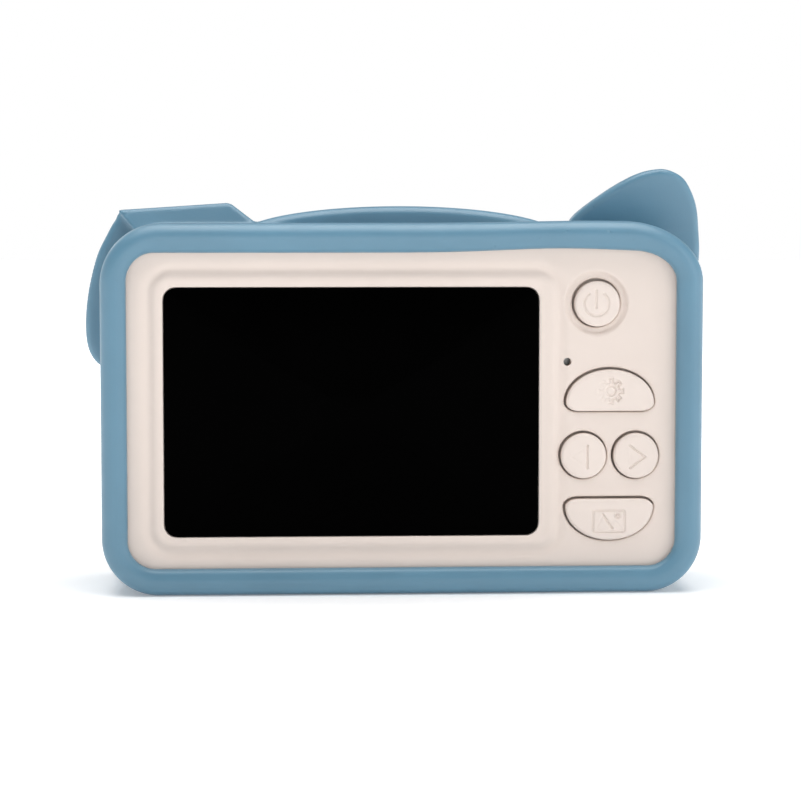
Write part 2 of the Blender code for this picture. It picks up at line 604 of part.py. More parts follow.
def make_switch(kit, key, seat, turn):
    """A square push switch with a pocket that its stem sinks into; seat is under the key."""
    name = key.replace("_button", "_switch")
    stem_top = -GAP
    body_top = -0.8 * MM
    rotation = turn.to_4x4()
    rotation.translation = seat
    low = Vector((-SWITCH_WIDTH / 2, -SWITCH_WIDTH / 2, body_top - SWITCH_HEIGHT))
    high = Vector((SWITCH_WIDTH / 2, SWITCH_WIDTH / 2, body_top))
    corners = [rotation @ low, rotation @ high]
    body = kit.box(name, [min(a, b) for a, b in zip(*corners)],
                   [max(a, b) for a, b in zip(*corners)], "plastic_black")
    kit.cut(body, kit.disc(name + "_pocket", SWITCH_POCKET_RADIUS,
                           body_top - SWITCH_HEIGHT + 0.25 * MM, body_top + 1 * MM, seat,
                           turn, steps=SMALL_SIDES))
    kit.disc(name + "_stem", STEM_RADIUS, stem_top - STEM_LENGTH, stem_top, seat, turn,
             "plastic_white", steps=SMALL_SIDES)


def make_shutter(kit):
    """The shutter button in the top, its switch and the small board that carries it."""
    height = SHUTTER_TOP - SHUTTER_FLANGE_TOP
    profile = [(0, height), (SHUTTER_RADIUS - 0.6 * MM, height),
               (SHUTTER_RADIUS, height - 0.5 * MM), (SHUTTER_RADIUS, 0),
               (SHUTTER_FLANGE_RADIUS, 0),
               (SHUTTER_FLANGE_RADIUS, SHUTTER_FLANGE_LOW - SHUTTER_FLANGE_TOP),
               (0, SHUTTER_FLANGE_LOW - SHUTTER_FLANGE_TOP)]
    kit.turned("shutter_button", profile, (SHUTTER_X, SHUTTER_Y, SHUTTER_FLANGE_TOP), UP,
               "key_beige")
    make_switch(kit, "shutter_button", (SHUTTER_X, SHUTTER_Y, SHUTTER_FLANGE_LOW), UP)
    board_top = SHUTTER_FLANGE_LOW - 0.8 * MM - SWITCH_HEIGHT - GAP
    kit.box("shutter_board", (SHUTTER_X - 6 * MM, SHUTTER_Y - 3.8 * MM, board_top - 1.0 * MM),
            (SHUTTER_X + 6 * MM, SHUTTER_Y + 3.8 * MM, board_top), "board_green")


def make_main_board(kit):
    """The main circuit board, the chips on its front side and the microphone behind it."""
    board = kit.box("main_board", (-BOARD_HALF_WIDTH, BOARD_REAR, BOARD_LOW),
                    (BOARD_HALF_WIDTH, BOARD_FRONT, BOARD_HIGH), "board_green")
    kit.cut(board, make_posts(kit, "board_holes", BOARD_SCREWS, 1.0 * MM, BOARD_REAR - 1 * MM,
                              BOARD_FRONT + 1 * MM, 12))
    kit.box("processor_chip", (-3 * MM, BOARD_FRONT + GAP, 24 * MM),
            (7 * MM, BOARD_FRONT + 1.3 * MM, 34 * MM), "plastic_black")
    kit.box("memory_chip", (-16 * MM, BOARD_FRONT + GAP, 26 * MM),
            (-8 * MM, BOARD_FRONT + 1.2 * MM, 32 * MM), "plastic_black")
    pin_x, pin_z = PINHOLE
    kit.disc("microphone", 1.6 * MM, 0.0, 1.3 * MM, (pin_x, BOARD_REAR - GAP, pin_z),
             REARWARD, "steel", steps=SMALL_SIDES)
    boot_top = BOARD_REAR - GAP - (INNER_REAR + GAP)
    boot = [(2.3 * MM, boot_top), (2.3 * MM, 0), (1.9 * MM, 0), (1.9 * MM, boot_top)]
    kit.turned("microphone_boot", boot, (pin_x, BOARD_REAR - GAP, pin_z), REARWARD,
               "foam_black", closed=True)


def make_ports(kit):
    """The USB socket, the card socket and the memory card that slides out of it."""
    usb_outer = -HOUSING_HALF_WIDTH + GAP
    half_y, half_z = USB_SIZE[1] / 2, USB_SIZE[2] / 2
    shell = 0.35 * MM
    usb = kit.box("usb_socket", (usb_outer, USB_Y - half_y, USB_Z - half_z),
                  (usb_outer + USB_SIZE[0], USB_Y + half_y, USB_Z + half_z), "steel",
                  corner=1.3 * MM, axis=0, segments=4)
    kit.cut(usb, kit.box("usb_mouth",
                         (usb_outer - 1 * MM, USB_Y - half_y + shell, USB_Z - half_z + shell),
                         (usb_outer + 6.3 * MM, USB_Y + half_y - shell,
                          USB_Z + half_z - shell), corner=0.9 * MM, axis=0, segments=4))
    kit.join(usb, kit.box("usb_tongue", (usb_outer + 0.9 * MM, USB_Y - GAP, USB_Z - 3.3 * MM),
                          (usb_outer + 6.8 * MM, USB_Y + GAP, USB_Z + 3.3 * MM)))
    socket_outer = -BOARD_HALF_WIDTH - 0.1 * MM
    socket = kit.box("card_socket", (socket_outer, BOARD_FRONT + GAP, CARD_Z - 6.7 * MM),
                     (socket_outer + 14.5 * MM, BOARD_FRONT + 2.8 * MM, CARD_Z + 6.7 * MM),
                     "steel")
    kit.cut(socket, kit.box("card_mouth",
                            (socket_outer - 1 * MM, CARD_Y - CARD_SIZE[1] / 2 - GAP,
                             CARD_Z - CARD_SIZE[2] / 2 - GAP),
                            (CARD_OUTER_X + CARD_SIZE[0] + 0.6 * MM,
                             CARD_Y + CARD_SIZE[1] / 2 + GAP,
                             CARD_Z + CARD_SIZE[2] / 2 + GAP)))
    card = kit.box("memory_card",
                   (CARD_OUTER_X, CARD_Y - CARD_SIZE[1] / 2, CARD_Z - CARD_SIZE[2] / 2),
                   (CARD_OUTER_X + CARD_SIZE[0], CARD_Y + CARD_SIZE[1] / 2,
                    CARD_Z + CARD_SIZE[2] / 2), "plastic_black", corner=0.8 * MM, segments=2)
    kit.cut(card, kit.box("card_step",
                          (CARD_OUTER_X + 8.5 * MM, CARD_Y - 1 * MM,
                           CARD_Z + CARD_SIZE[2] / 2 - 1.2 * MM),
                          (CARD_OUTER_X + 16 * MM, CARD_Y + 1 * MM,
                           CARD_Z + CARD_SIZE[2] / 2 + 1 * MM)))


def make_battery(kit):
    """The battery pouch, its two leads and the connector on the main board."""
    kit.box("battery", BATTERY_LOW, BATTERY_HIGH, "foil_silver", corner=1.5 * MM, axis=2,
            segments=3)
    socket_x, socket_low, socket_high = -22.0 * MM, 40.5 * MM, 44.5 * MM
    kit.box("battery_connector", (socket_x - 3 * MM, BOARD_FRONT + GAP, socket_low),
            (socket_x + 3 * MM, BOARD_FRONT + 4.2 * MM, socket_high), "plastic_white")
    for name, offset in (("wire_red", -1.0 * MM), ("wire_black", 1.0 * MM)):
        x = socket_x + offset
        route = [(x, 6.8 * MM, BATTERY_HIGH[2] + GAP), (x, 6.6 * MM, BATTERY_HIGH[2] + 2 * MM),
                 (x, 3.5 * MM, BATTERY_HIGH[2] + 3.6 * MM), (x, -0.6 * MM, 49.0 * MM),
                 (x, -2.8 * MM, 46.6 * MM), (x, -3.0 * MM, socket_high + GAP)]
        kit.wire("battery_" + name, route, name)


def make_speaker(kit):
    """A round speaker with a foam gasket against the front wall, and its two leads."""
    back = 5.4 * MM
    profile = [(0, 3.2 * MM), (SPEAKER_RADIUS - 2 * MM, 3.2 * MM), (SPEAKER_RADIUS, 2.6 * MM),
               (SPEAKER_RADIUS, 1.2 * MM), (5.5 * MM, 1.2 * MM), (5.5 * MM, 0), (0, 0)]
    kit.turned("speaker", profile, (SPEAKER_X, back, SPEAKER_Z), FORWARD, "plastic_black")
    ring = [(SPEAKER_RADIUS - 0.4 * MM, 4.2 * MM), (SPEAKER_RADIUS - 0.4 * MM, 3.5 * MM),
            (SPEAKER_RADIUS - 2 * MM, 3.5 * MM), (SPEAKER_RADIUS - 2 * MM, 4.2 * MM)]
    kit.turned("speaker_gasket", ring, (SPEAKER_X, back, SPEAKER_Z), FORWARD, "foam_black",
               closed=True)
    for name, offset in (("wire_red", -1.0 * MM), ("wire_black", 1.0 * MM)):
        route = [(21.5 * MM + offset, 5.8 * MM, SPEAKER_Z), (21.0 * MM + offset, 2.6 * MM, 22 * MM),
                 (20.2 * MM + offset, -1.0 * MM, 26 * MM), (20.0 * MM + offset, -4.3 * MM, 29 * MM)]
        kit.wire("speaker_" + name, route, name)


def make_camera_module(kit):
    """The small front board with the sensor holder, the lens barrel and the flash LED."""
    board_front = CAMERA_BOARD_FRONT
    kit.box("camera_board", (LENS_X - 10 * MM, CAMERA_BOARD_REAR, LENS_Z - 10 * MM),
            (LENS_X + 10 * MM, board_front, FLASH_Z + 3 * MM), "board_green")
    holder_low, holder_high = board_front + GAP, board_front + 5.0 * MM
    holder = kit.box("sensor_holder", (LENS_X - 5.8 * MM, holder_low, LENS_Z - 5.8 * MM),
                     (LENS_X + 5.8 * MM, holder_high, LENS_Z + 5.8 * MM), "plastic_black",
                     corner=0.8 * MM, segments=2)
    kit.cut(holder, kit.disc("holder_bore", BARREL_RADIUS + GAP, 1.6 * MM, 6 * MM,
                             (LENS_X, holder_low, LENS_Z), FORWARD))
    barrel = [(0, 6.0 * MM), (1.6 * MM, 6.0 * MM), (BARREL_RADIUS - 0.5 * MM, 8.0 * MM),
              (BARREL_RADIUS, 7.5 * MM), (BARREL_RADIUS, 0), (0, 0)]
    kit.turned("lens_barrel", barrel, (LENS_X, holder_low + 2.0 * MM, LENS_Z), FORWARD,
               "plastic_black")
    kit.box("flash_led", (FLASH_X - 1.7 * MM, board_front + GAP, FLASH_Z - 1.7 * MM),
            (FLASH_X + 1.7 * MM, board_front + 2.0 * MM, FLASH_Z + 1.7 * MM), "led_yellow")
    cable = [(CAMERA_BOARD_REAR - 0.5 * MM, LENS_Z - 5 * MM),
             (CAMERA_BOARD_REAR - 0.5 * MM, LENS_Z - 11 * MM),
             (CAMERA_BOARD_REAR - 2.0 * MM, LENS_Z - 13 * MM),
             (BOARD_FRONT + 2.4 * MM, LENS_Z - 13 * MM), (BOARD_FRONT + 0.6 * MM, LENS_Z - 11 * MM),
             (BOARD_FRONT + 0.6 * MM, LENS_Z - 7 * MM)]
    kit.ribbon("camera_flex", cable, LENS_X - 2.5 * MM, LENS_X + 6.5 * MM, "flex_amber")


def make_lens(kit):
    """The lens ring that stands through the cover, its window and the flash window."""
    base = HOUSING_FRONT + GAP
    front = LENS_RING_FRONT - base
    outer, step = LENS_RING_RADIUS, LENS_WINDOW_RADIUS + GAP
    spigot = LENS_HOLE_RADIUS - GAP
    ring = [(step + 0.5 * MM, front), (outer - 1.0 * MM, front), (outer, front - 1.0 * MM),
            (outer, 0), (spigot, 0), (spigot, -2.6 * MM), (BARREL_RADIUS + 1.0 * MM, -2.6 * MM),
            (BARREL_RADIUS + 1.0 * MM, 1.4 * MM), (step - 1.2 * MM, front - 3.2 * MM),
            (step, front - 3.2 * MM), (step, front - 0.5 * MM)]
    kit.turned("lens_ring", ring, (LENS_X, base, LENS_Z), FORWARD, "abs_beige", steps=36,
               closed=True)
    kit.disc("lens_window", LENS_WINDOW_RADIUS, front - 2.9 * MM, front - 1.5 * MM,
             (LENS_X, base, LENS_Z), FORWARD, "glass_clear", steps=36)
    window = [(0, 3.5 * MM), (FLASH_RADIUS - 0.4 * MM, 3.5 * MM), (FLASH_RADIUS, 3.1 * MM),
              (FLASH_RADIUS, 0), (FLASH_RADIUS + 0.9 * MM, 0),
              (FLASH_RADIUS + 0.9 * MM, -0.8 * MM), (0, -0.8 * MM)]
    kit.turned("flash_window", window, (FLASH_X, INNER_FRONT - GAP, FLASH_Z), FORWARD,
               "glass_clear", steps=SMALL_SIDES)


def make_screws(kit):
    """Four case screws driven from the front, three board screws on the main board."""
    for number, (x, z) in enumerate(CASE_SCREWS, 1):
        make_screw(kit, f"case_screw_{number}", (x, CASE_SEAT_Y + GAP, z), 1.8 * MM, 1.4 * MM,
                   1.0 * MM, 12 * MM)
    for number, (x, z) in enumerate(BOARD_SCREWS, 1):
        make_screw(kit, f"board_screw_{number}", (x, BOARD_FRONT + GAP, z), 1.6 * MM,
                   1.0 * MM, 0.65 * MM, 4.0 * MM)


def make_screw(kit, name, seat, head_radius, head_height, shank_radius, length):
    """A pan head screw with a round drive recess."""
    drive = head_radius * 0.35
    profile = [(0, head_height * 0.5), (drive, head_height * 0.5), (drive, head_height),
               (head_radius * 0.8, head_height), (head_radius, head_height * 0.7),
               (head_radius, 0), (shank_radius, 0), (shank_radius, -length + shank_radius),
               (shank_radius * 0.5, -length), (0, -length)]
    kit.turned(name, profile, seat, FORWARD, "steel", steps=12)


def main():
    clear_scene()
    kit = Kit()
    make_cover(kit)
    make_rear_housing(kit)
    make_front_housing(kit)
    make_screen(kit)
    make_keys(kit)
    make_shutter(kit)
    make_main_board(kit)
    make_ports(kit)
    make_battery(kit)
    make_speaker(kit)
    make_camera_module(kit)
    make_lens(kit)
    make_screws(kit)


main()
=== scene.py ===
"""Looks of a kids' digital camera in a soft silicone cover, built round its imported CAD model.

Shapes are worked out in millimetres in the CAD's frame: +Z up, the screen faces -Y, the lens
faces +Y and the origin is the middle of the base.
"""
import itertools
import json
import math

import bmesh
import bpy
import numpy as np
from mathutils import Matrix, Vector
from mathutils.geometry import delaunay_2d_cdt


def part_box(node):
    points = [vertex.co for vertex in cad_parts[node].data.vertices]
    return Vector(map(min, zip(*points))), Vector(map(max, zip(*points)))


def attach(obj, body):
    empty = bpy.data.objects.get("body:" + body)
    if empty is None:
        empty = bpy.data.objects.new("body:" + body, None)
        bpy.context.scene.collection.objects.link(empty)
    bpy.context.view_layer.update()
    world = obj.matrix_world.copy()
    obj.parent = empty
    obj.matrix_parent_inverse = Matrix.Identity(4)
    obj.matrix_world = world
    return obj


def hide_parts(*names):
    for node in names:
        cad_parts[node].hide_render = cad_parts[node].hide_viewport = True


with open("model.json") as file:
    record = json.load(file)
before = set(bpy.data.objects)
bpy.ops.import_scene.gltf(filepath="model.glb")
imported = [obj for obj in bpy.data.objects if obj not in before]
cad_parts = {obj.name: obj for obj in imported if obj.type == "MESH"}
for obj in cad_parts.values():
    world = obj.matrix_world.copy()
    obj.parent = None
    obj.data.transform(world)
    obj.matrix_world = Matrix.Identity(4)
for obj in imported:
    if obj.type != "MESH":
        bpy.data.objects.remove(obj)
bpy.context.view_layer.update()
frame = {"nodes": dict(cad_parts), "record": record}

MM = 0.001


def node_box(name):
    """A CAD node's lowest and highest corners in millimetres."""
    low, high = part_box(name)
    return np.array(low) / MM, np.array(high) / MM


def middle(name):
    """The middle of a CAD node's box in millimetres."""
    low, high = node_box(name)
    return (low + high) / 2


# Places and sizes that come from the CAD
COVER_LOW, COVER_HIGH = node_box("silicone_cover")
HOUSING_LOW, HOUSING_HIGH = node_box("rear_housing")
FRONT_HOUSING_HIGH = node_box("front_housing")[1]
GLASS_LOW, GLASS_HIGH = node_box("screen_window")
GAP = 0.3
WALL = 2.0                             # silicone
LIP = 1.8                              # how far the cover stands out past the housing's face
HALF_WIDTH = HOUSING_HIGH[0] + WALL + GAP
TOP = HOUSING_HIGH[2] + WALL + GAP
REAR = HOUSING_LOW[1] - LIP - GAP
FRONT = FRONT_HOUSING_HIGH[1] + WALL + GAP
FACE = HOUSING_LOW[1]                  # rear face of the housing
PARTING = HOUSING_HIGH[1]
SHELL = 1.8                            # thickness of the housing's walls
INNER_FACE = FACE + SHELL
LENS_X, LENS_Z = middle("lens_ring")[0], middle("lens_ring")[2]
LENS_RADIUS = (node_box("lens_ring")[1][0] - node_box("lens_ring")[0][0]) / 2
FLASH_X, FLASH_Z = middle("flash_window")[0], middle("flash_window")[2]
SPEAKER_X, SPEAKER_Z = middle("speaker")[0], middle("speaker")[2]
SHUTTER_X, SHUTTER_Y = middle("shutter_button")[0], middle("shutter_button")[1]
SHUTTER_RADIUS = 4.2
PINHOLE_X, PINHOLE_Z = middle("microphone")[0], middle("microphone")[2]
PINHOLE_RADIUS = 0.62
ROUND_KEY_RADIUS = 3.6
KEY_CLEARANCE = 0.25
GLASS_CORNER = 1.9
GLASS_CLEARANCE = 0.12                 # to the housing round it
KEY_PLAY = np.array([0.13, -0.13])     # keys rest a little low and right in their holes
HALF_MOON = {"reach": 7.0, "rise": 5.3, "drop": 1.3, "corner": 2.1}


# ---------------------------------------------------------------- meshes

def mesh_object(name, points, faces, weld=False):
    """A mesh from points in millimetres, with its faces pointing out."""
    mesh = bpy.data.meshes.new(name)
    mesh.from_pydata((np.asarray(points, dtype=float) * MM).tolist(), [], faces)
    bm = bmesh.new()
    bm.from_mesh(mesh)
    if weld:
        bmesh.ops.remove_doubles(bm, verts=bm.verts, dist=0.0005 * MM)
    bmesh.ops.recalc_face_normals(bm, faces=bm.faces)
    bm.to_mesh(mesh)
    bm.free()
    obj = bpy.data.objects.new(name, mesh)
    bpy.context.scene.collection.objects.link(obj)
    return obj


def make_piece(name, points, faces, slot, body="camera"):
    """A welded, smooth mesh piece that rides on a body."""
    obj = mesh_object(name, points, faces, weld=True)
    obj.data.shade_smooth()
    obj.data.materials.append(MATERIALS[slot])
    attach(obj, body)
    return obj


def sharpen(obj, degrees):
    obj.data.set_sharp_from_angle(angle=math.radians(degrees))


def apply_modifiers(obj):
    evaluated = obj.evaluated_get(bpy.context.evaluated_depsgraph_get())
    mesh = bpy.data.meshes.new_from_object(evaluated)
    obj.modifiers.clear()
    obj.data = mesh


def cut_with(obj, cutter, operation="DIFFERENCE"):
    """Cuts or joins a helper mesh, then throws the helper away."""
    step = obj.modifiers.new("cut", "BOOLEAN")
    step.operation = operation
    step.solver = "MANIFOLD"
    step.object = cutter
    bpy.context.view_layer.update()
    apply_modifiers(obj)
    bpy.data.objects.remove(cutter, do_unlink=True)


def prism(outline, start, end, axis=1):
    """A closed prism of a flat outline between two places along an axis, as a helper mesh."""
    count = len(outline)
    points = []
    for place in (start, end):
        for first, second in outline:
            point = [first, second]
            point.insert(axis, place)
            points.append(point)
    faces = [(i, (i + 1) % count, count + (i + 1) % count, count + i) for i in range(count)]
    ends = [tuple(range(count)), tuple(range(count, 2 * count))]
    return mesh_object("helper", points, faces + ends)


def rings_mesh(rings, cyclic=False):
    """Points and quads of a skin over equal rings; the ends are closed with fans."""
    count = len(rings[0])
    points = [point for ring in rings for point in ring]
    faces = []
    pairs = list(zip(range(len(rings)), range(1, len(rings))))
    if cyclic:
        pairs.append((len(rings) - 1, 0))
    for a, b in pairs:
        for i in range(count):
            j = (i + 1) % count
            faces.append((a * count + i, a * count + j, b * count + j, b * count + i))
    if not cyclic:
        for ring in (0, len(rings) - 1):
            centre = len(points)
            points.append(tuple(np.mean(rings[ring], axis=0)))
            faces += [(ring * count + i, ring * count + (i + 1) % count, centre)
                      for i in range(count)]
    return points, faces


def turned(profile, centre, axis, steps=120, cyclic=False):
    """Rings of a (radius, height) profile turned round an axis through centre."""
    angles = np.linspace(0, 2 * math.pi, steps, endpoint=False)
    rings = []
    for radius, height in profile:
        ring = np.zeros((steps, 3))
        others = [a for a in range(3) if a != axis]
        ring[:, others[0]] = centre[others[0]] + radius * np.cos(angles)
        ring[:, others[1]] = centre[others[1]] + radius * np.sin(angles)
        ring[:, axis] = centre[axis] + height
        rings.append(ring)
    return rings_mesh(rings, cyclic)


def round_corner(before, corner, after, radius, steps=5):
    """Points of a fillet at a corner of a profile."""
    before, corner, after = (np.array(p, dtype=float) for p in (before, corner, after))
    first = (before - corner) / np.linalg.norm(before - corner)
    second = (after - corner) / np.linalg.norm(after - corner)
    half = math.acos(float(np.clip(first @ second, -1, 1))) / 2
    reach = radius / math.tan(half)
    centre = corner + (first + second) / np.linalg.norm(first + second) * radius / math.sin(half)
    start, end = corner + first * reach - centre, corner + second * reach - centre
    turn = math.atan2(start[0] * end[1] - start[1] * end[0], start @ end)
    points = []
    for step in range(steps + 1):
        a = turn * step / steps
        points.append((centre[0] + start[0] * math.cos(a) - start[1] * math.sin(a),
                       centre[1] + start[0] * math.sin(a) + start[1] * math.cos(a)))
    return points


def soften(profile, radii, closed=False):
    """A profile with a fillet of its own radius at each point."""
    count = len(profile)
    points = []
    for i, (point, radius) in enumerate(zip(profile, radii)):
        inner = closed or 0 < i < count - 1
        if radius and inner:
            points += round_corner(profile[i - 1], point, profile[(i + 1) % count], radius)
        else:
            points.append(point)
    return points


def arc(centre, reach, rise, start, end, steps):
    """Points on an ellipse's arc, angles in degrees."""
    angles = np.radians(np.linspace(start, end, steps + 1))
    return [(centre[0] + reach * math.cos(a), centre[1] + rise * math.sin(a)) for a in angles]


def even_points(points, count):
    """A closed outline walked at an even pace."""
    points = np.array(points, dtype=float)
    loop = np.vstack([points, points[:1]])
    lengths = np.concatenate([[0], np.cumsum(np.linalg.norm(np.diff(loop, axis=0), axis=1))])
    places = np.linspace(0, lengths[-1], count, endpoint=False)
    return np.column_stack([np.interp(places, lengths, loop[:, i]) for i in (0, 1)])


def rounded_box(low, high, corner, steps=12, count=None):
    """Outline of a box with round corners, in X and Z."""
    points = []
    for x, z, start in ((high[0] - corner, high[1] - corner, 0),
                        (low[0] + corner, high[1] - corner, 90),
                        (low[0] + corner, low[1] + corner, 180),
                        (high[0] - corner, low[1] + corner, 270)):
        points += arc((x, z), corner, corner, start, start + 90, steps)
    return even_points(points, count) if count else points


def half_moon(x, z, side, grow=0.0, count=None):
    """Outline of a half-moon key: half an ellipse over a flat side with rounded corners."""
    reach, rise = HALF_MOON["reach"] + grow, HALF_MOON["rise"] + grow
    corner, drop = HALF_MOON["corner"] + grow, HALF_MOON["drop"] + grow
    points = arc((0, 0), reach, rise, 0, 180, 60)
    points += arc((corner - reach, 0), corner, drop, 180, 270, 14)[1:]
    points += arc((reach - corner, 0), corner, drop, 270, 360, 14)[:-1]
    points = [(x + px, z + side * pz) for px, pz in points]
    return even_points(points, count) if count else points


def circle(x, z, radius, count=96):
    return arc((x, z), radius, radius, 0, 360, count)[:-1]


def smooth_loop(points, steps=5):
    """A closed Catmull-Rom curve through points."""
    points = np.array(points, dtype=float)
    result = []
    for i in range(len(points)):
        a, b, c, d = (points[(i + k) % len(points)] for k in (-1, 0, 1, 2))
        for step in range(steps):
            t = step / steps
            result.append(0.5 * (2 * b + (c - a) * t + (2 * a - 5 * b + 4 * c - d) * t ** 2
                                 + (3 * b - a - 3 * c + d) * t ** 3))
    return result


# ---------------------------------------------------------------- distance fields

def bump(x, centre, width):
    return np.exp(-((x - centre) / width) ** 2)


def ramp(x, start, end):
    """0 before start, 1 after end, smooth between them."""
    t = np.clip((x - start) / (end - start), 0, 1)
    return t * t * (3 - 2 * t)


def rim(a, b, radius):
    """Where both fields are inside, with a round edge where they meet."""
    a, b = a + radius, b + radius
    return np.minimum(np.maximum(a, b), 0) + np.hypot(np.maximum(a, 0), np.maximum(b, 0)) - radius


def blend(a, b, width):
    """Where either field is inside, with a fillet where they meet."""
    near = np.maximum(width - np.abs(a - b), 0) / width
    return np.minimum(a, b) - near * near * width / 4


def carve(a, hollow, radius):
    return rim(a, -hollow, radius)


def corner_box(x, z, low, high, corners):
    """Distance to a box in X and Z; each corner is a quarter of an ellipse, (reach, rise)."""
    right = x >= (low[0] + high[0]) / 2
    upper = z >= (low[1] + high[1]) / 2
    result = 0.0
    for (side_x, side_z), (reach, rise) in corners.items():
        u = x - high[0] + reach if side_x > 0 else low[0] + reach - x
        v = z - high[1] + rise if side_z > 0 else low[1] + rise - z
        scaled = np.hypot(u / reach, v / rise)
        slope = np.maximum(np.hypot(u / reach ** 2, v / rise ** 2), 1e-9)
        distance = np.where((u > 0) & (v > 0), scaled * (scaled - 1) / slope,
                            np.maximum(u - reach, v - rise))
        here = (right if side_x > 0 else ~right) & (upper if side_z > 0 else ~upper)
        result = result + np.where(here, distance, 0.0)
    return result


def loop_distance(loop, x, z):
    """Signed distance to a closed outline, negative inside."""
    best, inside = np.inf, False
    for (ax, az), (bx, bz) in zip(loop, loop[1:] + loop[:1]):
        ex, ez, px, pz = bx - ax, bz - az, x - ax, z - az
        t = np.clip((px * ex + pz * ez) / (ex * ex + ez * ez), 0, 1)
        best = np.minimum(best, (px - ex * t) ** 2 + (pz - ez * t) ** 2)
        if ez:
            inside = inside ^ (((az <= z) != (bz <= z)) & (px < ex * pz / ez))
    return np.sqrt(best) * np.where(inside, -1.0, 1.0)


def ellipsoid(x, y, z, centre, radii):
    scaled = sum(((p - c) / r) ** 2 for p, c, r in zip((x, y, z), centre, radii)) ** 0.5
    slope = sum(((p - c) / r ** 2) ** 2 for p, c, r in zip((x, y, z), centre, radii)) ** 0.5
    return scaled * (scaled - 1) / np.maximum(slope, 1e-9)


def skin_of(field, low, high, step):
    """Points and quads of a field's zero surface: one point in each cell that it crosses."""
    axes = [np.arange(a, b + step, step) for a, b in zip(low, high)]
    values = np.concatenate([
        field(part[:, None, None], axes[1][None, :, None], axes[2][None, None, :])
        for part in np.array_split(axes[0], 12)])
    inside = values < 0
    cells = [n - 1 for n in inside.shape]
    count = np.zeros(cells, dtype=np.int8)
    for i, j, k in itertools.product((0, 1), repeat=3):
        count += inside[i:i + cells[0], j:j + cells[1], k:k + cells[2]]
    crossed = (count > 0) & (count < 8)
    index = np.full(cells, -1)
    index[crossed] = np.arange(np.count_nonzero(crossed))
    points = np.column_stack([axis[i] + step / 2 for axis, i in zip(axes, np.nonzero(crossed))])
    quads = []
    for axis in range(3):
        side = np.moveaxis(inside, axis, 0)
        cell = np.moveaxis(index, axis, 0)
        first = side[:-1, 1:-1, 1:-1]
        change = first != side[1:, 1:-1, 1:-1]
        i, j, k = np.nonzero(change)
        ring = np.stack([cell[i, j, k], cell[i, j + 1, k], cell[i, j + 1, k + 1],
                         cell[i, j, k + 1]], axis=1)
        turn = first[change] == (axis == 1)
        ring[turn] = ring[turn][:, ::-1]
        quads.append(ring)
    for _ in range(3):
        points = settle(field, points, step / 2)
    return points, np.concatenate(quads)


def settle(field, points, limit):
    """Moves points along the field's slope onto its zero surface."""
    nudge = 0.02
    value = field(*points.T)
    slope = np.column_stack([
        (field(*(points + nudge * np.eye(3)[i]).T) - value) / nudge for i in range(3)])
    square = np.maximum((slope ** 2).sum(axis=1), 0.05)
    move = -(value / square)[:, None] * slope
    length = np.maximum(np.linalg.norm(move, axis=1), 1e-9)
    return points + move * np.minimum(1, limit / length)[:, None]


# ---------------------------------------------------------------- materials

class Nodes:
    """Short ways of adding nodes to one material."""

    def __init__(self, name):
        self.material = bpy.data.materials.new(name)
        self.material.use_nodes = True
        self.tree = self.material.node_tree
        self.shader = self.tree.nodes["Principled BSDF"]
        self.place = self.add("ShaderNodeTexCoord").outputs["Object"]

    def add(self, kind, **settings):
        node = self.tree.nodes.new(kind)
        for key, value in settings.items():
            setattr(node, key, value)
        return node

    def link(self, source, target):
        self.tree.links.new(source, target)

    def set(self, **values):
        for key, value in values.items():
            self.shader.inputs[key.replace("_", " ")].default_value = value

    def noise(self, scale, detail=3.0, roughness=0.55, stretch=None):
        """Noise over the object; scale is how many patches fit in a millimetre."""
        node = self.add("ShaderNodeTexNoise")
        node.inputs["Scale"].default_value = scale / MM
        node.inputs["Detail"].default_value = detail
        node.inputs["Roughness"].default_value = roughness
        place = self.place
        if stretch:
            mapping = self.add("ShaderNodeMapping")
            mapping.inputs["Scale"].default_value = stretch
            self.link(place, mapping.inputs["Vector"])
            place = mapping.outputs["Vector"]
        self.link(place, node.inputs["Vector"])
        return node.outputs["Fac"]

    def ramp(self, source, stops):
        """A colour or a grey for each value of the source."""
        node = self.add("ShaderNodeValToRGB")
        elements = node.color_ramp.elements
        while len(elements) < len(stops):
            elements.new(0.5)
        for element, (place, colour) in zip(elements, stops):
            element.position = place
            element.color = (*colour, 1.0) if isinstance(colour, tuple) else (colour,) * 3 + (1.0,)
        self.link(source, node.inputs["Fac"])
        return node.outputs["Color"]

    def mix(self, factor, first, second):
        node = self.add("ShaderNodeMix", data_type="RGBA")
        for socket, value in ((node.inputs[0], factor), (node.inputs[6], first),
                              (node.inputs[7], second)):
            if isinstance(value, bpy.types.NodeSocket):
                self.link(value, socket)
            else:
                socket.default_value = value if isinstance(value, float) else (*value, 1.0)
        return node.outputs[2]

    def math(self, operation, first, second):
        node = self.add("ShaderNodeMath", operation=operation)
        for socket, value in zip(node.inputs, (first, second)):
            if isinstance(value, bpy.types.NodeSocket):
                self.link(value, socket)
            else:
                socket.default_value = value
        return node.outputs[0]

    def bump(self, height, depth, before=None):
        """Fine relief; depth is in millimetres."""
        node = self.add("ShaderNodeBump")
        node.inputs["Distance"].default_value = depth * MM
        self.link(height, node.inputs["Height"])
        if before:
            self.link(before, node.inputs["Normal"])
        return node.outputs["Normal"]

    def finish(self, colour=None, roughness=None, normal=None):
        for source, name in ((colour, "Base Color"), (roughness, "Roughness"),
                             (normal, "Normal")):
            if source:
                self.link(source, self.shader.inputs[name])
        return self.material


def shade(colour, factor):
    return tuple(min(1.0, c * factor) for c in colour)


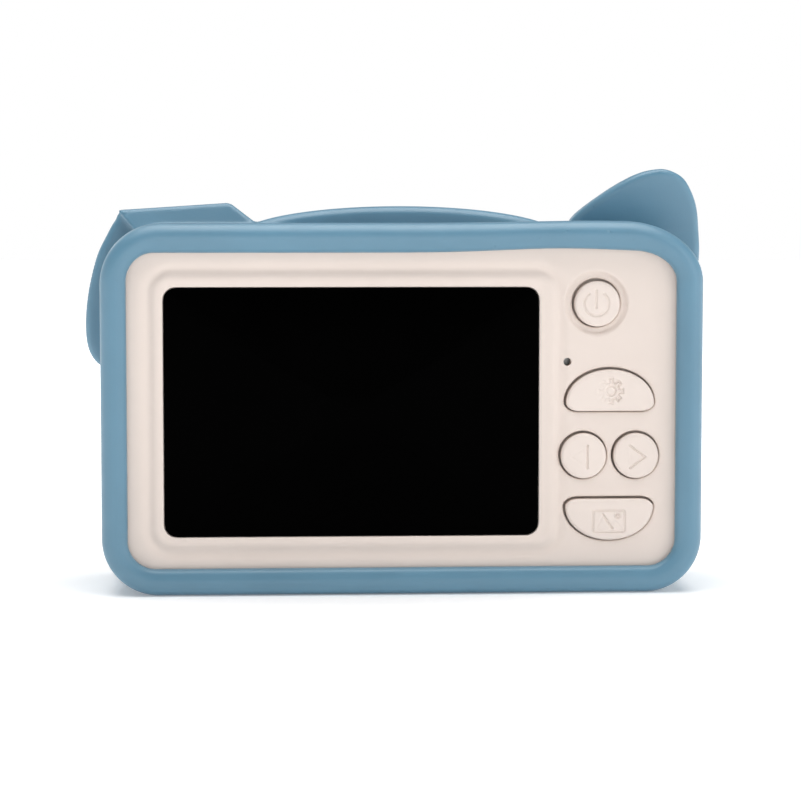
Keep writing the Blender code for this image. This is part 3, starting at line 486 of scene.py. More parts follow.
def silicone():
    """Matt dusty-blue silicone rubber, with a few specks of lint held by its surface."""
    n = Nodes("silicone_blue")
    base = (0.104, 0.238, 0.336)
    cloud = n.noise(0.035, 4.0)
    colour = n.ramp(cloud, [(0.3, shade(base, 0.93)), (0.7, shade(base, 1.07))])
    cells = n.add("ShaderNodeTexVoronoi")
    cells.inputs["Scale"].default_value = 0.42 / MM
    cells.inputs["Randomness"].default_value = 1.0
    n.link(n.place, cells.inputs["Vector"])
    dot = n.math("LESS_THAN", cells.outputs["Distance"], 0.055)
    split = n.add("ShaderNodeSeparateColor")
    n.link(cells.outputs["Color"], split.inputs[0])
    chosen = n.math("LESS_THAN", split.outputs[0], 0.035)
    speck = n.math("MULTIPLY", n.math("MULTIPLY", dot, chosen), 0.55)
    colour = n.mix(speck, colour, (0.62, 0.70, 0.74))
    roughness = n.ramp(n.noise(0.25, 4.0), [(0.3, 0.36), (0.7, 0.44)])
    grain = n.bump(n.noise(5.0, 2.0), 0.012)
    normal = n.bump(n.noise(0.12, 3.0), 0.10, grain)
    n.set(Specular_IOR_Level=0.70, Sheen_Weight=0.10, Sheen_Roughness=0.4,
          Subsurface_Weight=0.06, Subsurface_Scale=1.2 * MM)
    n.shader.inputs["Subsurface Radius"].default_value = (0.6, 0.9, 1.0)
    return n.finish(colour, roughness, normal)


def moulded(name, colour, gloss, grain_depth=0.006, spread=0.02):
    """Moulded plastic with a fine spark-eroded grain and a faint flow of colour."""
    n = Nodes(name)
    tone = n.ramp(n.noise(0.03, 3.0), [(0.3, shade(colour, 1 - spread)),
                                       (0.7, shade(colour, 1 + spread))])
    roughness = n.ramp(n.noise(0.8, 4.0), [(0.3, gloss - 0.05), (0.7, gloss + 0.05)])
    grain = n.bump(n.noise(7.0, 2.0), grain_depth)
    normal = n.bump(n.noise(0.10, 2.0), grain_depth * 5, grain)
    return n.finish(tone, roughness, normal)


def black_glass():
    """The screen's cover glass, printed black behind and quite without colour."""
    n = Nodes("glass_black")
    colour = n.ramp(n.noise(0.05, 2.0), [(0.3, (0.0003, 0.0003, 0.0003)),
                                         (0.7, (0.0005, 0.0005, 0.0005))])
    roughness = n.ramp(n.noise(0.15, 4.0), [(0.35, 0.05), (0.75, 0.09)])
    n.set(Specular_IOR_Level=0.004)
    return n.finish(colour, roughness, n.bump(n.noise(0.02, 1.0), 0.004))


def clear_glass():
    n = Nodes("glass_clear")
    roughness = n.ramp(n.noise(0.3, 3.0), [(0.3, 0.02), (0.7, 0.05)])
    n.set(Transmission_Weight=1.0, IOR=1.46)
    n.shader.inputs["Base Color"].default_value = (0.96, 0.98, 1.0, 1.0)
    return n.finish(None, roughness, n.bump(n.noise(0.05, 2.0), 0.002))


def metal(name, colour, gloss, brushed=(1.0, 1.0, 12.0)):
    n = Nodes(name)
    lines = n.noise(1.0, 5.0, 0.65, brushed)
    tone = n.ramp(lines, [(0.3, shade(colour, 0.85)), (0.7, shade(colour, 1.1))])
    roughness = n.ramp(lines, [(0.3, gloss - 0.08), (0.7, gloss + 0.10)])
    n.set(Metallic=1.0)
    return n.finish(tone, roughness, n.bump(lines, 0.01))


def board():
    """Green solder mask over copper tracks."""
    n = Nodes("board_green")
    tracks = n.add("ShaderNodeTexBrick")
    tracks.inputs["Scale"].default_value = 0.35 / MM
    tracks.inputs["Mortar Size"].default_value = 0.03
    n.link(n.place, tracks.inputs["Vector"])
    colour = n.mix(tracks.outputs["Fac"], (0.012, 0.105, 0.045), (0.03, 0.20, 0.08))
    return n.finish(colour, n.ramp(n.noise(0.6), [(0.3, 0.32), (0.7, 0.45)]),
                    n.bump(tracks.outputs["Fac"], 0.03))


def foam():
    n = Nodes("foam_black")
    pores = n.add("ShaderNodeTexVoronoi")
    pores.inputs["Scale"].default_value = 3.0 / MM
    n.link(n.place, pores.inputs["Vector"])
    colour = n.ramp(pores.outputs["Distance"], [(0.0, (0.006, 0.006, 0.006)),
                                                (0.6, (0.03, 0.03, 0.03))])
    n.set(Roughness=0.95)
    return n.finish(colour, None, n.bump(pores.outputs["Distance"], 0.08))


def make_materials():
    return {
        "silicone_blue": silicone(),
        "abs_beige": moulded("abs_beige", (0.741, 0.646, 0.587), 0.42),
        "key_beige": moulded("key_beige", (0.755, 0.663, 0.606), 0.38, 0.004),
        "glass_black": black_glass(),
        "glass_clear": clear_glass(),
        "lcd_grey": moulded("lcd_grey", (0.05, 0.06, 0.07), 0.18, 0.001, 0.10),
        "plastic_white": moulded("plastic_white", (0.80, 0.80, 0.78), 0.45),
        "plastic_black": moulded("plastic_black", (0.012, 0.012, 0.013), 0.42, 0.008, 0.15),
        "foam_black": foam(),
        "board_green": board(),
        "flex_amber": moulded("flex_amber", (0.45, 0.20, 0.04), 0.35, 0.004, 0.10),
        "steel": metal("steel", (0.56, 0.56, 0.55), 0.32),
        "foil_silver": metal("foil_silver", (0.62, 0.63, 0.64), 0.38, (3.0, 1.0, 1.0)),
        "led_yellow": moulded("led_yellow", (0.80, 0.62, 0.15), 0.25),
        "wire_red": moulded("wire_red", (0.50, 0.02, 0.015), 0.45),
        "wire_black": moulded("wire_black", (0.015, 0.015, 0.015), 0.45),
    }


# ---------------------------------------------------------------- silicone cover

# Corners of the cover's outside and of the window in its lip: (reach, rise)
OUTER_CORNERS = {(-1, -1): (9.0, 9.0), (1, -1): (9.0, 9.0), (-1, 1): (9.7, 9.7),
                 (1, 1): (12.5, 9.4)}
WINDOW_CORNERS = {(-1, -1): (4.5, 4.5), (1, -1): (4.5, 4.5), (-1, 1): (4.3, 4.6),
                  (1, 1): (6.5, 4.7)}
UPRIGHT_EAR = smooth_loop([(28.3, 59.3), (33.4, 63.5), (38.2, 66.3), (41.7, 67.25), (44.0, 67.0),
                           (46.1, 65.8), (47.5, 63.7), (48.5, 61.0), (49.0, 57.3), (49.1, 52.6),
                           (48.0, 47.5), (44.0, 48.0), (36.0, 54.5), (28.6, 56.5)])
EAR_FLAP = smooth_loop([(-45.2, 60.2), (-46.7, 59.0), (-48.1, 56.6), (-49.7, 53.3), (-50.9, 49.0),
                        (-51.6, 44.8), (-51.8, 40.6), (-51.3, 37.3), (-49.8, 35.0), (-47.0, 33.6),
                        (-43.8, 34.9), (-38.5, 40.8), (-32.5, 50.5), (-29.5, 59.3), (-37.0, 59.6)])


SOUND_HOLES = [(SPEAKER_X, SPEAKER_Z)] + [
    (SPEAKER_X + 4.2 * math.cos(a), SPEAKER_Z + 4.2 * math.sin(a))
    for a in np.radians(np.arange(0, 360, 60))]
PORTS_Y, PORTS_Z = -3.5, 29.2          # the long opening for the USB socket and the card
PORTS_DEPTH, PORTS_HEIGHT = 9.0, 30.0
WINDOW_LOW, WINDOW_HIGH = (-43.4, 4.25), (43.2, 53.95)
CREST_Y, CREST_DEPTH = 8.3, 9.6        # the low crest along the top
FLAP_Y, FLAP_THICKNESS = 16.8, 3.2     # the folded ear's hanging flap


def upright_ear(x, y, z):
    """A leaf that leans towards the screen's side, and less along its inner edge."""
    bend = 0.006 * np.maximum(45.0 - x, 0) ** 2
    lean = 0.22 * np.maximum(z - 57.5, 0)
    return rim(loop_distance(UPRIGHT_EAR, x, z), np.abs(y - 2.2 - bend + lean) - 2.0, 1.2)


def folded_ear(x, y, z):
    """A root that stands on the top, between the planes of its ridge, ends and sloping back,
    and the flap that hangs from its ridge."""
    ridge = z - 60.7 - 0.066 * (x + 45.3)
    left = (-42.4 - 0.82 * (z - 56.3) - x) / math.hypot(1, 0.82)
    right = (x + 27.2 - 1.3 * (61.6 - z)) / math.hypot(1, 1.3)
    slope = (8.6 + 0.42 * (z - 58.0) - y) / math.hypot(1, 0.42)
    root = rim(rim(ridge, np.maximum(slope, y - 18.3), 0.5), np.maximum(left, right), 0.4)
    root = np.maximum(root, 55.5 - z)
    flap = rim(loop_distance(EAR_FLAP, x, z), np.abs(y - FLAP_Y) - FLAP_THICKNESS / 2, 1.3)
    return blend(root, flap, 1.0)


def hump(x, y, z):
    """A low crest over the middle of the top, with round shoulders at both sides."""
    crest = ellipsoid(x, y, z, (0.3, CREST_Y, TOP - 2.2), (26.5, 60, 5))
    return rim(crest, np.abs(y - CREST_Y) - CREST_DEPTH / 2, 1.6)


def cover_outside(x, y, z):
    """Body, lip, hump and ears. The lip falls away towards the window, and the top sinks
    a little behind it."""
    behind_lip = ramp(y, -10.5, -8.0)
    top = TOP + (0.1 + 0.35 * bump(x, 29, 14)) * (1 - behind_lip) - 0.35 * behind_lip
    outline = corner_box(x, z, (-HALF_WIDTH, 0), (HALF_WIDTH, top), OUTER_CORNERS)
    fall = 0.60 * np.clip((-outline - 1.9) / 2.1, 0, 1.3) ** 2
    body = rim(rim(outline, REAR + fall - y, 2.3), y - FRONT, 2.0)
    body = blend(body, hump(x, y, z), 0.4)
    body = blend(body, upright_ear(x, y, z), 0.6)
    return blend(body, folded_ear(x, y, z), 0.7)


def cover_room(x, y, z):
    """The hollow that the camera lies in, and the window in the lip."""
    room = {key: (7.0, 7.0) for key in OUTER_CORNERS}
    cavity = np.maximum(
        corner_box(x, z, (-HALF_WIDTH + WALL, WALL), (HALF_WIDTH - WALL, TOP - WALL), room),
        np.abs(y - (FACE - GAP + FRONT - WALL) / 2) - (FRONT - WALL - FACE + GAP) / 2)
    window_top = WINDOW_HIGH[1] + 0.65 * bump(x, 25, 13)
    window = np.maximum(
        corner_box(x, z, WINDOW_LOW, (WINDOW_HIGH[0], window_top), WINDOW_CORNERS),
        y - FACE - 0.5)
    return np.minimum(cavity, window)


def cover_field(x, y, z):
    """The whole cover as one field: its outside less the hollow and the openings."""
    body = carve(cover_outside(x, y, z), cover_room(x, y, z), 0.55)
    front_holes = [(LENS_X, LENS_Z, LENS_RADIUS + GAP, 0.7), (FLASH_X, FLASH_Z, 3.0, 0.5)]
    front_holes += [(hole_x, hole_z, 0.9, 0.3) for hole_x, hole_z in SOUND_HOLES]
    for hole_x, hole_z, radius, edge in front_holes:
        hole = np.maximum(np.hypot(x - hole_x, z - hole_z) - radius, 6 - y)
        body = carve(body, hole, edge)
    shutter = np.maximum(np.hypot(x - SHUTTER_X, y - SHUTTER_Y) - SHUTTER_RADIUS - 0.8, 50 - z)
    body = carve(body, shutter, 0.6)
    ports = rim(np.abs(y - PORTS_Y) - PORTS_DEPTH / 2, np.abs(z - PORTS_Z) - PORTS_HEIGHT / 2, 2.5)
    return carve(body, np.maximum(ports, x + 40), 0.6)


def make_cover():
    step = 0.4
    margin = 1.5
    points, quads = skin_of(cover_field, COVER_LOW - margin, COVER_HIGH + margin, step)
    cover = make_piece("cover_silicone", points, quads.tolist(), "silicone_blue")
    limit = 180_000
    triangles = 2 * len(quads)
    if triangles > limit:
        lighter = cover.modifiers.new("lighter", "DECIMATE")
        lighter.ratio = limit / triangles
        bpy.context.view_layer.update()
        apply_modifiers(cover)
        cover.data.shade_smooth()
    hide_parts("silicone_cover")


# ---------------------------------------------------------------- rear housing

KEYS = {}                              # name: its outline, grown by some millimetres
BEZEL_LOW, BEZEL_HIGH = (-39.5, 7.3), (24.3, 50.7)
DISH_RADIUS = 4.6                      # of the flat bottom of the power key's dish


def round_key(name):
    x, _, z = middle(name)
    return lambda grow, count=160: even_points(circle(x, z, ROUND_KEY_RADIUS + grow), count)


def moon_key(name, side):
    low, high = node_box(name)
    flange = 0.5
    x = (low[0] + high[0]) / 2
    z = low[2] + flange + HALF_MOON["drop"] if side > 0 else high[2] - flange - HALF_MOON["drop"]
    return lambda grow, count=240: even_points(half_moon(x, z, side, grow), count)


def set_up_keys():
    for name in ("power_button", "left_button", "right_button"):
        KEYS[name] = round_key(name)
    KEYS["settings_button"] = moon_key("settings_button", 1)
    KEYS["gallery_button"] = moon_key("gallery_button", -1)


def glass_outline(grow, count=None):
    return rounded_box((GLASS_LOW[0] - grow, GLASS_LOW[2] - grow),
                       (GLASS_HIGH[0] + grow, GLASS_HIGH[2] + grow),
                       GLASS_CORNER + grow, 10, count)


def face_depth(x, z):
    """How far the housing's rear face lies below its plane: in the power key's dish and in
    the groove round the screen's frame, which stands up and slopes gently to the glass."""
    corners = {key: (3.2, 3.2) for key in OUTER_CORNERS}
    away = corner_box(x, z, BEZEL_LOW, BEZEL_HIGH, corners)
    groove = 0.32 * bump(away, 0.55, 0.85)
    bezel = 0.22 * np.minimum(ramp(-away, -0.5, 0.7), 1 - 0.5 * ramp(-away, 0.9, 2.0))
    power_x, _, power_z = middle("power_button")
    from_key = np.hypot(x - power_x, z - power_z)
    dish = 0.50 * (1 - ramp(from_key, DISH_RADIUS, DISH_RADIUS + 0.5))
    return dish + groove - bezel


def rim_rings(outline, radius, inward=False):
    """Rings beside an edge, each with how deep its points lie on the edge's fillet."""
    rings = []
    for angle in np.radians((90, 65, 42, 20, 0)):
        away = radius * (1 - math.sin(angle))
        rings.append((outline(-away if inward else away), radius * (1 - math.cos(angle))))
    return rings


def triangulate(rings, extra, holes):
    """Flat triangles between outlines; rings are (points, depth), holes are left open."""
    points, depths, edges = [], [], []
    for ring, depth in rings:
        start = len(points)
        points += [tuple(p) for p in ring]
        depths += [depth] * len(ring)
        edges += [(start + i, start + (i + 1) % len(ring)) for i in range(len(ring))]
    points += [tuple(p) for p in extra]
    depths += [0.0] * len(extra)
    vertices, _, faces, original, _, _ = delaunay_2d_cdt(
        [Vector(p) for p in points], edges, [], 0, 1e-5)
    flat = np.array([tuple(v) for v in vertices])
    depth = np.array([max((depths[i] for i in found), default=0.0) for found in original])
    triangles = np.array([face for face in faces if len(face) == 3])
    centres = flat[triangles].mean(axis=1)
    keep = np.ones(len(triangles), dtype=bool)
    for hole, outside in holes:
        distance = loop_distance([tuple(p) for p in hole], centres[:, 0], centres[:, 1])
        keep &= distance < 0 if outside else distance > 0
    return flat, depth, triangles[keep]


def wall(first, first_y, second, second_y):
    """Quads between two outlines with the same number of points."""
    count = len(first)
    points = [(p[0], y, p[1]) for ring, y in ((first, first_y), (second, second_y))
              for p in ring]
    return points, [(i, (i + 1) % count, count + (i + 1) % count, count + i)
                    for i in range(count)]


def face_grid(keep_clear):
    """Points inside the face: a loose grid, closer together where its relief is steep."""
    fine = 0.3
    x, z = (a.ravel() for a in np.meshgrid(
        np.arange(HOUSING_LOW[0] + 1, HOUSING_HIGH[0] - 1, fine),
        np.arange(HOUSING_LOW[2] + 1, HOUSING_HIGH[2] - 1, fine)))
    column, row = np.round((x - x[0]) / fine), np.round((z - z[0]) / fine)
    loose = (column % 4 == 0) & (row % 4 == 0)
    change = sum(np.abs(face_depth(x + step_x, z + step_z) - face_depth(x, z))
                 for step_x, step_z in ((0.5, 0), (0, 0.5), (-0.5, 0), (0, -0.5)))
    keep = loose | (change > 0.004)
    for outline, distance in keep_clear:
        loop = [tuple(p) for p in outline]
        keep[keep] = loop_distance(loop, x[keep], z[keep]) > distance
    border = rounded_box((HOUSING_LOW[0] + 1, HOUSING_LOW[2] + 1),
                         (HOUSING_HIGH[0] - 1, HOUSING_HIGH[2] - 1), 5.7)
    keep[keep] = loop_distance(border, x[keep], z[keep]) < -0.3
    return np.column_stack([x[keep], z[keep]])


def join_parts(parts):
    """All parts' points and faces as one list each."""
    points, faces = [], []
    for part_points, part_faces in parts:
        start = len(points)
        points += [tuple(p) for p in part_points]
        faces += [tuple(i + start for i in face) for face in part_faces]
    return points, faces


def hole_wall(ring, edge, end):
    """A hole's wall from the fillet at the housing's face to an even depth."""
    points, faces = wall(ring, 0.0, ring, end)
    starts = FACE + edge + face_depth(ring[:, 0], ring[:, 1])
    for i, y in enumerate(starts):
        points[i] = (ring[i][0], y, ring[i][1])
    return points, faces


def flat_part(rings, y, sides):
    """Triangles between outlines at one depth."""
    flat, _, triangles = triangulate(rings, [], sides)
    return np.column_stack([flat[:, 0], np.full(len(flat), y), flat[:, 1]]), triangles.tolist()


def make_housing():
    """The rear half: its face with the relief round the screen, holes, walls and posts."""
    def border(grow, count=260):
        return rounded_box((HOUSING_LOW[0] - grow, HOUSING_LOW[2] - grow),
                           (HOUSING_HIGH[0] + grow, HOUSING_HIGH[2] + grow), 6.7 + grow, 12, count)

    def pinhole(grow):
        return circle(PINHOLE_X, PINHOLE_Z, PINHOLE_RADIUS + grow, 40)

    def glass(grow):
        return glass_outline(GLASS_CLEARANCE + grow, 360)

    outer_edge, key_edge, pinhole_edge, glass_edge = 0.4, 0.28, 0.06, 0.22
    holes = [(lambda grow, key=key: key(KEY_CLEARANCE + grow), key_edge) for key in KEYS.values()]
    holes.append((pinhole, pinhole_edge))
    rings = rim_rings(border, outer_edge, inward=True)
    for outline, radius in holes + [(glass, glass_edge)]:
        rings += rim_rings(outline, radius)
    clear = [(outline(0), radius + 0.15) for outline, radius in holes + [(glass, glass_edge)]]
    open_holes = [(border(0), True)] + [(outline(0), False) for outline, _ in holes]
    flat, depth, triangles = triangulate(rings, face_grid(clear), open_holes + [(glass(0), False)])
    face_y = FACE + depth + face_depth(flat[:, 0], flat[:, 1])
    parts = [(np.column_stack([flat[:, 0], face_y, flat[:, 1]]), triangles.tolist())]
    for outline, radius in holes:
        parts.append(hole_wall(np.array(outline(0)), radius, INNER_FACE))
    ring = np.array(glass(0))
    ledge = FACE + 1.3                     # the glass lies on it
    view_size = np.array([50.0, 37.4]) / 2
    screen = (GLASS_LOW + GLASS_HIGH)[[0, 2]] / 2
    view = rounded_box(screen - view_size, screen + view_size, 0.4, 4, 120)
    parts.append(hole_wall(ring, glass_edge, ledge))
    parts.append(flat_part([(ring, 0), (view, 0)], ledge, [(ring, True), (view, False)]))
    parts.append(wall(view, ledge, view, INNER_FACE))
    outer, inner = border(0), border(-SHELL)
    parts.append(wall(outer, FACE + outer_edge, outer, PARTING))
    parts.append(wall(outer, PARTING, inner, PARTING))
    parts.append(wall(inner, PARTING, inner, INNER_FACE))
    back = [(inner, 0), (view, 0)] + [(outline(0), 0) for outline, _ in holes]
    parts.append(flat_part(back, INNER_FACE, [(inner, True), (view, False)] + open_holes[1:]))
    housing = make_piece("housing_rear", *join_parts(parts), "abs_beige")
    add_posts(housing)
    cut_ports(housing)
    sharpen(housing, 50)
    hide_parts("rear_housing")


def add_posts(housing):
    """Screw bosses at the corners and posts for the main board, each with its hole."""
    places = [(middle(f"case_screw_{i}"), 2.4, 1.3, PARTING - 0.05, -6.0) for i in range(1, 5)]
    places += [(middle(f"board_screw_{i}"), 1.6, 0.95, node_box("main_board")[0][1] - GAP,
                INNER_FACE + 0.2) for i in range(1, 4)]
    for (x, _, z), radius, hole, end, hole_start in places:
        post = prism(circle(x, z, radius, 48), INNER_FACE - 0.6, end)
        cut_with(housing, post, "UNION")
        cut_with(housing, prism(circle(x, z, hole, 32), hole_start, end + 1))


def cut_ports(housing):
    """Slots for the USB socket and the card, and the hole for the shutter button."""
    wall_x = HOUSING_LOW[0]
    for name, corner in (("usb_socket", 1.5), ("memory_card", 0.4)):
        low, high = node_box(name)
        outline = rounded_box((low[1] - GAP, low[2] - GAP), (high[1] + GAP, high[2] + GAP),
                              corner, 8)
        cut_with(housing, prism(outline, wall_x - 1, wall_x + SHELL + 1, axis=0))
    outline = circle(SHUTTER_X, SHUTTER_Y, SHUTTER_RADIUS + GAP, 96)
    cut_with(housing, prism(outline, HOUSING_HIGH[2] - SHELL - 1, HOUSING_HIGH[2] + 1, axis=2))


# ---------------------------------------------------------------- keys

def stroke(points):
    return list(zip(points, points[1:]))


def line_distance(lines, x, z):
    best = np.inf
    for (ax, az), (bx, bz) in lines:
        ex, ez = bx - ax, bz - az
        t = np.clip(((x - ax) * ex + (z - az) * ez) / max(ex * ex + ez * ez, 1e-9), 0, 1)
        best = np.minimum(best, np.hypot(x - ax - ex * t, z - az - ez * t))
    return best


def engraved(lines, x, z):
    """A fine groove along lines, from 0 to 1."""
    return 1 - ramp(line_distance(lines, x, z), 0.06, 0.25)


def power_sign(x, z):
    ring = stroke(arc((0.1, -0.1), 1.95, 1.95, 128, 412, 40))
    return 0.8 * engraved(ring + [((0.05, 1.95), (0.05, -0.75))], x, z)


def arrow_sign(base, tip, x, z):
    """A triangle with its right side cut deep and its left side faint."""
    half = 1.75
    back = [((base, half), (base, -half))]
    point = stroke([(base, half), (tip, 0.0), (base, -half)])
    deep, faint = (point, back) if tip > base else (back, point)
    return np.maximum(engraved(deep, x, z), 0.12 * engraved(faint, x, z))


def gear_sign(x, z):
    teeth = []
    for i in range(8):
        for offset, radius in ((-13, 1.35), (-9, 1.95), (9, 1.95), (13, 1.35)):
            a = math.radians(45 * i + offset)
            teeth.append((radius * math.cos(a), radius * math.sin(a)))
    lines = stroke(teeth + teeth[:1]) + stroke(arc((0, 0), 0.75, 0.75, 0, 360, 20))
    return engraved(lines, x, z) * (0.2 + 0.8 * ramp(x, -1.6, 0.8))


def picture_sign(x, z):
    border = rounded_box((-2.5, -1.7), (2.5, 1.7), 0.3, 3)
    deep = [((-0.9, 1.05), (0.55, -1.1))] + stroke(circle(1.35, 0.85, 0.3, 12))
    faint = stroke([(-1.9, -1.1), (-0.9, 1.05)]) + stroke([(0.3, -0.7), (1.1, 0.0), (1.9, -1.1)])
    return np.maximum(np.maximum(engraved(deep, x, z), 0.25 * engraved(faint, x, z)),
                      0.75 * engraved(stroke(border + border[:1]), x, z))


def make_key(name, body, sign, shift=(0.0, 0.0), crown=0.10):
    """A key cap with a rounded rim, a slight crown and an engraved sign, over its flange."""
    x, _, z = middle(name)
    low, high = node_box(name)
    top, back = low[1], high[1]
    edge, depth, flange_y = 0.50, 0.24, INNER_FACE + GAP
    flange = (high[0] - low[0]) / 2 - (KEYS[name](0)[:, 0].max() - x)

    def outline(grow):
        return KEYS[name](grow) + KEY_PLAY

    last = outline(-edge)
    centre = np.array([x, z]) + KEY_PLAY
    size = np.linalg.norm(last - centre, axis=1).max()
    rings = []
    ring_pitch = 0.075
    for share in np.linspace(0.01, 1, int(size / ring_pitch)):
        ring = centre + (last - centre) * share
        relief = sign(ring[:, 0] - x - shift[0], ring[:, 1] - z - shift[1])
        y = top + crown * share ** 2 + depth * relief
        rings.append(np.column_stack([ring[:, 0], y, ring[:, 1]]))
    for angle in np.radians((15, 30, 45, 60, 75, 90)):
        ring = outline(-edge * (1 - math.sin(angle)))
        y = top + crown + edge * (1 - math.cos(angle))
        rings.append(np.column_stack([ring[:, 0], np.full(len(ring), y), ring[:, 1]]))
    for grow, y in ((0, flange_y), (flange, flange_y), (flange, back)):
        ring = outline(grow)
        rings.append(np.column_stack([ring[:, 0], np.full(len(ring), y), ring[:, 1]]))
    points, faces = rings_mesh(rings)
    key = make_piece(name.replace("_button", "_cap"), points, faces, "key_beige", body)
    sharpen(key, 60)
    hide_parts(name)


def make_keys():
    make_key("power_button", "power_key", power_sign, (-0.15, 0.0))
    make_key("left_button", "left_key", lambda x, z: arrow_sign(0.95, -1.6, x, z), (-0.28, -0.3))
    make_key("right_button", "right_key", lambda x, z: arrow_sign(-0.55, 1.8, x, z), (-0.28, -0.3))
    make_key("settings_button", "settings_key", gear_sign, (0.15, -0.2), 0.12)
    make_key("gallery_button", "gallery_key", picture_sign, (0.0, -0.4), 0.12)


def make_shutter():
    low, high = node_box("shutter_button")
    flange_top = low[2] + 0.9
    height, drop = high[2] - flange_top, low[2] - flange_top
    profile = soften([(0.05, height - 0.25), (SHUTTER_RADIUS - 1.2, height - 0.15),
                      (SHUTTER_RADIUS - 0.9, height), (SHUTTER_RADIUS, height),
                      (SHUTTER_RADIUS, 0), (5.0, 0), (5.0, drop), (0.05, drop)],
                     (0, 0.4, 0.25, 0.5, 0.05, 0.08, 0.1, 0))
    points, faces = turned(profile, (SHUTTER_X, SHUTTER_Y, flange_top), 2, 128)
    button = make_piece("shutter_cap", points, faces, "key_beige", "shutter_key")
    sharpen(button, 50)
    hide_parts("shutter_button")


# ---------------------------------------------------------------- screen, lens and flash

def make_glass():
    """The screen's cover glass, with ground edges."""
    edge = 0.14
    rings = []
    for grow, y in ((-edge, GLASS_LOW[1]), (-edge * 0.3, GLASS_LOW[1] + edge * 0.3),
                    (0, GLASS_LOW[1] + edge), (0, GLASS_HIGH[1] - edge),
                    (-edge, GLASS_HIGH[1])):
        ring = np.array(glass_outline(grow, 240))
        rings.append(np.column_stack([ring[:, 0], np.full(len(ring), y), ring[:, 1]]))
    points, faces = rings_mesh(rings)
    glass = make_piece("screen_glass", points, faces, "glass_black")
    sharpen(glass, 30)
    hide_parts("screen_window")


def make_lens():
    """The turned ring round the lens, stepped inside, and the window that closes it."""
    low, high = node_box("lens_ring")
    base = FRONT_HOUSING_HIGH[1] + GAP
    front, spigot_end = high[1] - base, low[1] - base
    step = (node_box("lens_window")[1][0] - node_box("lens_window")[0][0]) / 2 + GAP
    spigot, bore = 6.7, 5.0
    cone_start, cone_end = (bore, 1.4), (step - 1.2, front - 3.2)
    profile = soften([(step + 0.5, front), (LENS_RADIUS, front), (LENS_RADIUS, 0), (spigot, 0),
                      (spigot, spigot_end), (bore, spigot_end), cone_start],
                     (0.15, 1.1, 0.2, 0.1, 0.1, 0.1, 0.1), closed=True)
    ridges = 9
    for i in range(1, ridges):
        t = i / ridges
        radius = cone_start[0] + (cone_end[0] - cone_start[0]) * t
        height = cone_start[1] + (cone_end[1] - cone_start[1]) * t
        profile += [(radius - 0.12, height - 0.05), (radius + 0.12, height + 0.10)]
    profile += [cone_end, (step, front - 3.2), (step, front - 0.5)]
    points, faces = turned(profile, (LENS_X, base, LENS_Z), 1, 160, cyclic=True)
    ring = make_piece("lens_surround", points, faces, "abs_beige")
    sharpen(ring, 40)
    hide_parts("lens_ring")
    low, high = node_box("lens_window")
    radius = (high[0] - low[0]) / 2
    profile = soften([(0.05, high[1] - low[1]), (radius, high[1] - low[1]), (radius, 0),
                      (0.05, 0)], (0, 0.25, 0.15, 0))
    points, faces = turned(profile, (LENS_X, low[1], LENS_Z), 1, 160)
    window = make_piece("lens_glass", points, faces, "glass_clear")
    sharpen(window, 40)
    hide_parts("lens_window")


def make_flash():
    """The flash window, with the concentric steps of a flat lens on its front."""
    low, high = node_box("flash_window")
    base = low[1] + 0.8
    top = high[1] - base
    profile = []
    for i in range(6):
        radius = 0.05 + 0.30 * i
        profile += [(radius, top - 0.10), (radius + 0.26, top - 0.02)]
    profile += soften([(2.0, top), (2.4, top), (2.4, 0), (3.3, 0), (3.3, -0.8), (0.05, -0.8)],
                      (0, 0.3, 0.05, 0.1, 0.1, 0))
    points, faces = turned(profile, (FLASH_X, base, FLASH_Z), 1, 96)
    window = make_piece("flash_lens", points, faces, "glass_clear")
    sharpen(window, 30)
    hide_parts("flash_window")


# ---------------------------------------------------------------- CAD pieces that stay

def finish_cad_nodes():
    """Gives every CAD piece that stays in view the procedural material of its slot."""
    for entry in frame["record"]["subparts"]:
        obj = frame["nodes"].get(entry["node"])
        if obj is not None:
            obj.data.materials.clear()
            obj.data.materials.append(MATERIALS[entry["material_slot"]])


# ---------------------------------------------------------------- studio

def make_floor():
    """A round white floor that shines softly far from the object, as a lit sweep does."""
    radius, steps = 3.0, 96
    points = [(radius * math.cos(a), radius * math.sin(a), 0.0)
              for a in np.linspace(0, 2 * math.pi, steps, endpoint=False)]
    mesh = bpy.data.meshes.new("floor")
    mesh.from_pydata(points, [], [tuple(range(steps))])
    floor = bpy.data.objects.new("floor", mesh)
    bpy.context.scene.collection.objects.link(floor)
    n = Nodes("floor_white")
    colour = n.ramp(n.noise(0.01, 2.0), [(0.3, (0.93, 0.93, 0.93)), (0.7, (0.95, 0.95, 0.95))])
    away = n.add("ShaderNodeVectorMath", operation="LENGTH")
    n.link(n.place, away.inputs[0])
    glow = n.ramp(away.outputs["Value"], [(0.0, 0.10), (0.32, 0.82)])  # over metres
    n.link(glow, n.shader.inputs["Emission Strength"])
    n.shader.inputs["Emission Color"].default_value = (1.0, 1.0, 1.0, 1.0)
    n.set(Specular_IOR_Level=0.15)
    floor.data.materials.append(n.finish(colour, n.ramp(n.noise(0.02), [(0.3, 0.6), (0.7, 0.7)])))


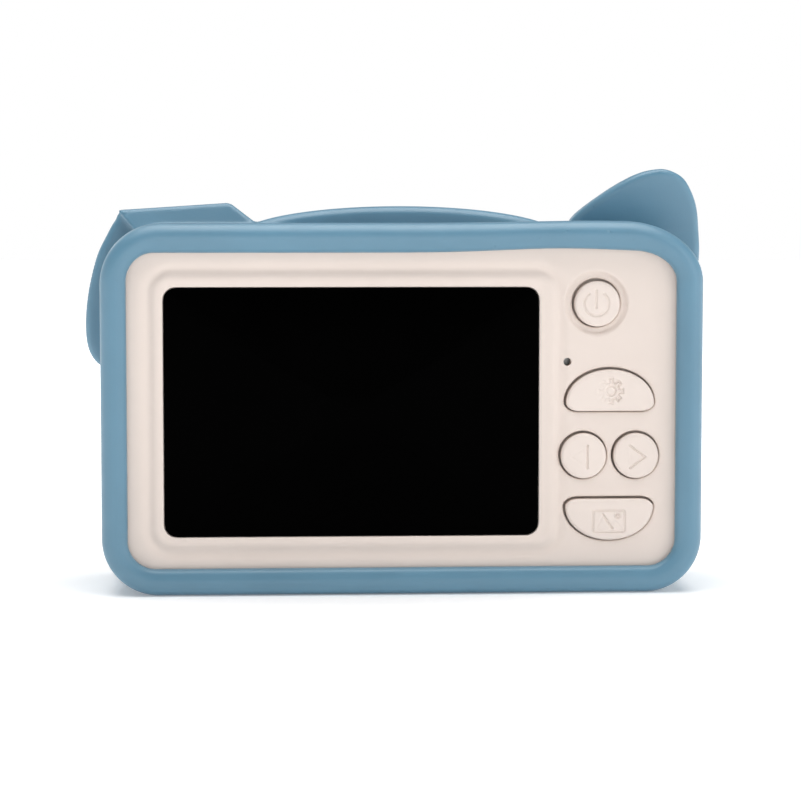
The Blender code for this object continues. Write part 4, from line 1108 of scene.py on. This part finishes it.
def make_light(name, place, target, size, power, colour=(1.0, 1.0, 1.0)):
    data = bpy.data.lights.new(name, "AREA")
    data.shape = "RECTANGLE"
    data.size, data.size_y = size
    data.energy = power
    data.color = colour
    lamp = bpy.data.objects.new(name, data)
    lamp.location = place
    lamp.rotation_euler = (Vector(target) - Vector(place)).to_track_quat("-Z", "Y").to_euler()
    bpy.context.scene.collection.objects.link(lamp)


def make_studio():
    """A white horizon under a darker sky, a large light overhead and one from each side."""
    world = bpy.data.worlds.new("studio")
    world.use_nodes = True
    tree = world.node_tree
    place = tree.nodes.new("ShaderNodeTexCoord")
    split = tree.nodes.new("ShaderNodeSeparateXYZ")
    height = tree.nodes.new("ShaderNodeValToRGB")
    horizon, sky = height.color_ramp.elements
    horizon.position, horizon.color = 0.14, (1.0, 1.0, 1.0, 1.0)
    sky.position, sky.color = 0.32, (0.16, 0.16, 0.165, 1.0)
    tree.links.new(place.outputs["Generated"], split.inputs[0])
    tree.links.new(split.outputs["Z"], height.inputs[0])
    tree.links.new(height.outputs["Color"], tree.nodes["Background"].inputs["Color"])
    bpy.context.scene.world = world
    target = (0.0, 0.0, 0.03)
    make_light("top", (0.0, -0.05, 0.90), target, (0.9, 0.9), 9.5)
    make_light("key", (0.70, -0.65, 0.42), target, (0.5, 0.5), 1.7)
    make_light("right", (0.80, -0.15, 0.35), target, (0.5, 0.7), 0.5)
    make_light("left", (-0.85, 0.05, 0.35), target, (0.5, 0.7), 0.12)
    make_light("back", (-0.50, 0.80, 0.50), target, (0.5, 0.5), 1.2)
    bpy.context.scene.view_settings.view_transform = "Standard"


def make_camera():
    data = bpy.data.cameras.new("camera_view")
    data.sensor_width = 36.0
    data.lens = 109.4
    data.clip_start, data.clip_end = 0.01, 20.0
    camera = bpy.data.objects.new("camera_view", data)
    camera.location = (-0.021, -0.394, 0.0596)
    aim = Vector((-0.00055, -0.014, 0.03084))
    camera.rotation_euler = (aim - camera.location).to_track_quat("-Z", "Y").to_euler()
    bpy.context.scene.collection.objects.link(camera)
    bpy.context.scene.camera = camera


make_camera()
MATERIALS = make_materials()
set_up_keys()
finish_cad_nodes()
make_cover()
make_housing()
make_keys()
make_shutter()
make_glass()
make_lens()
make_flash()
make_floor()
make_studio()
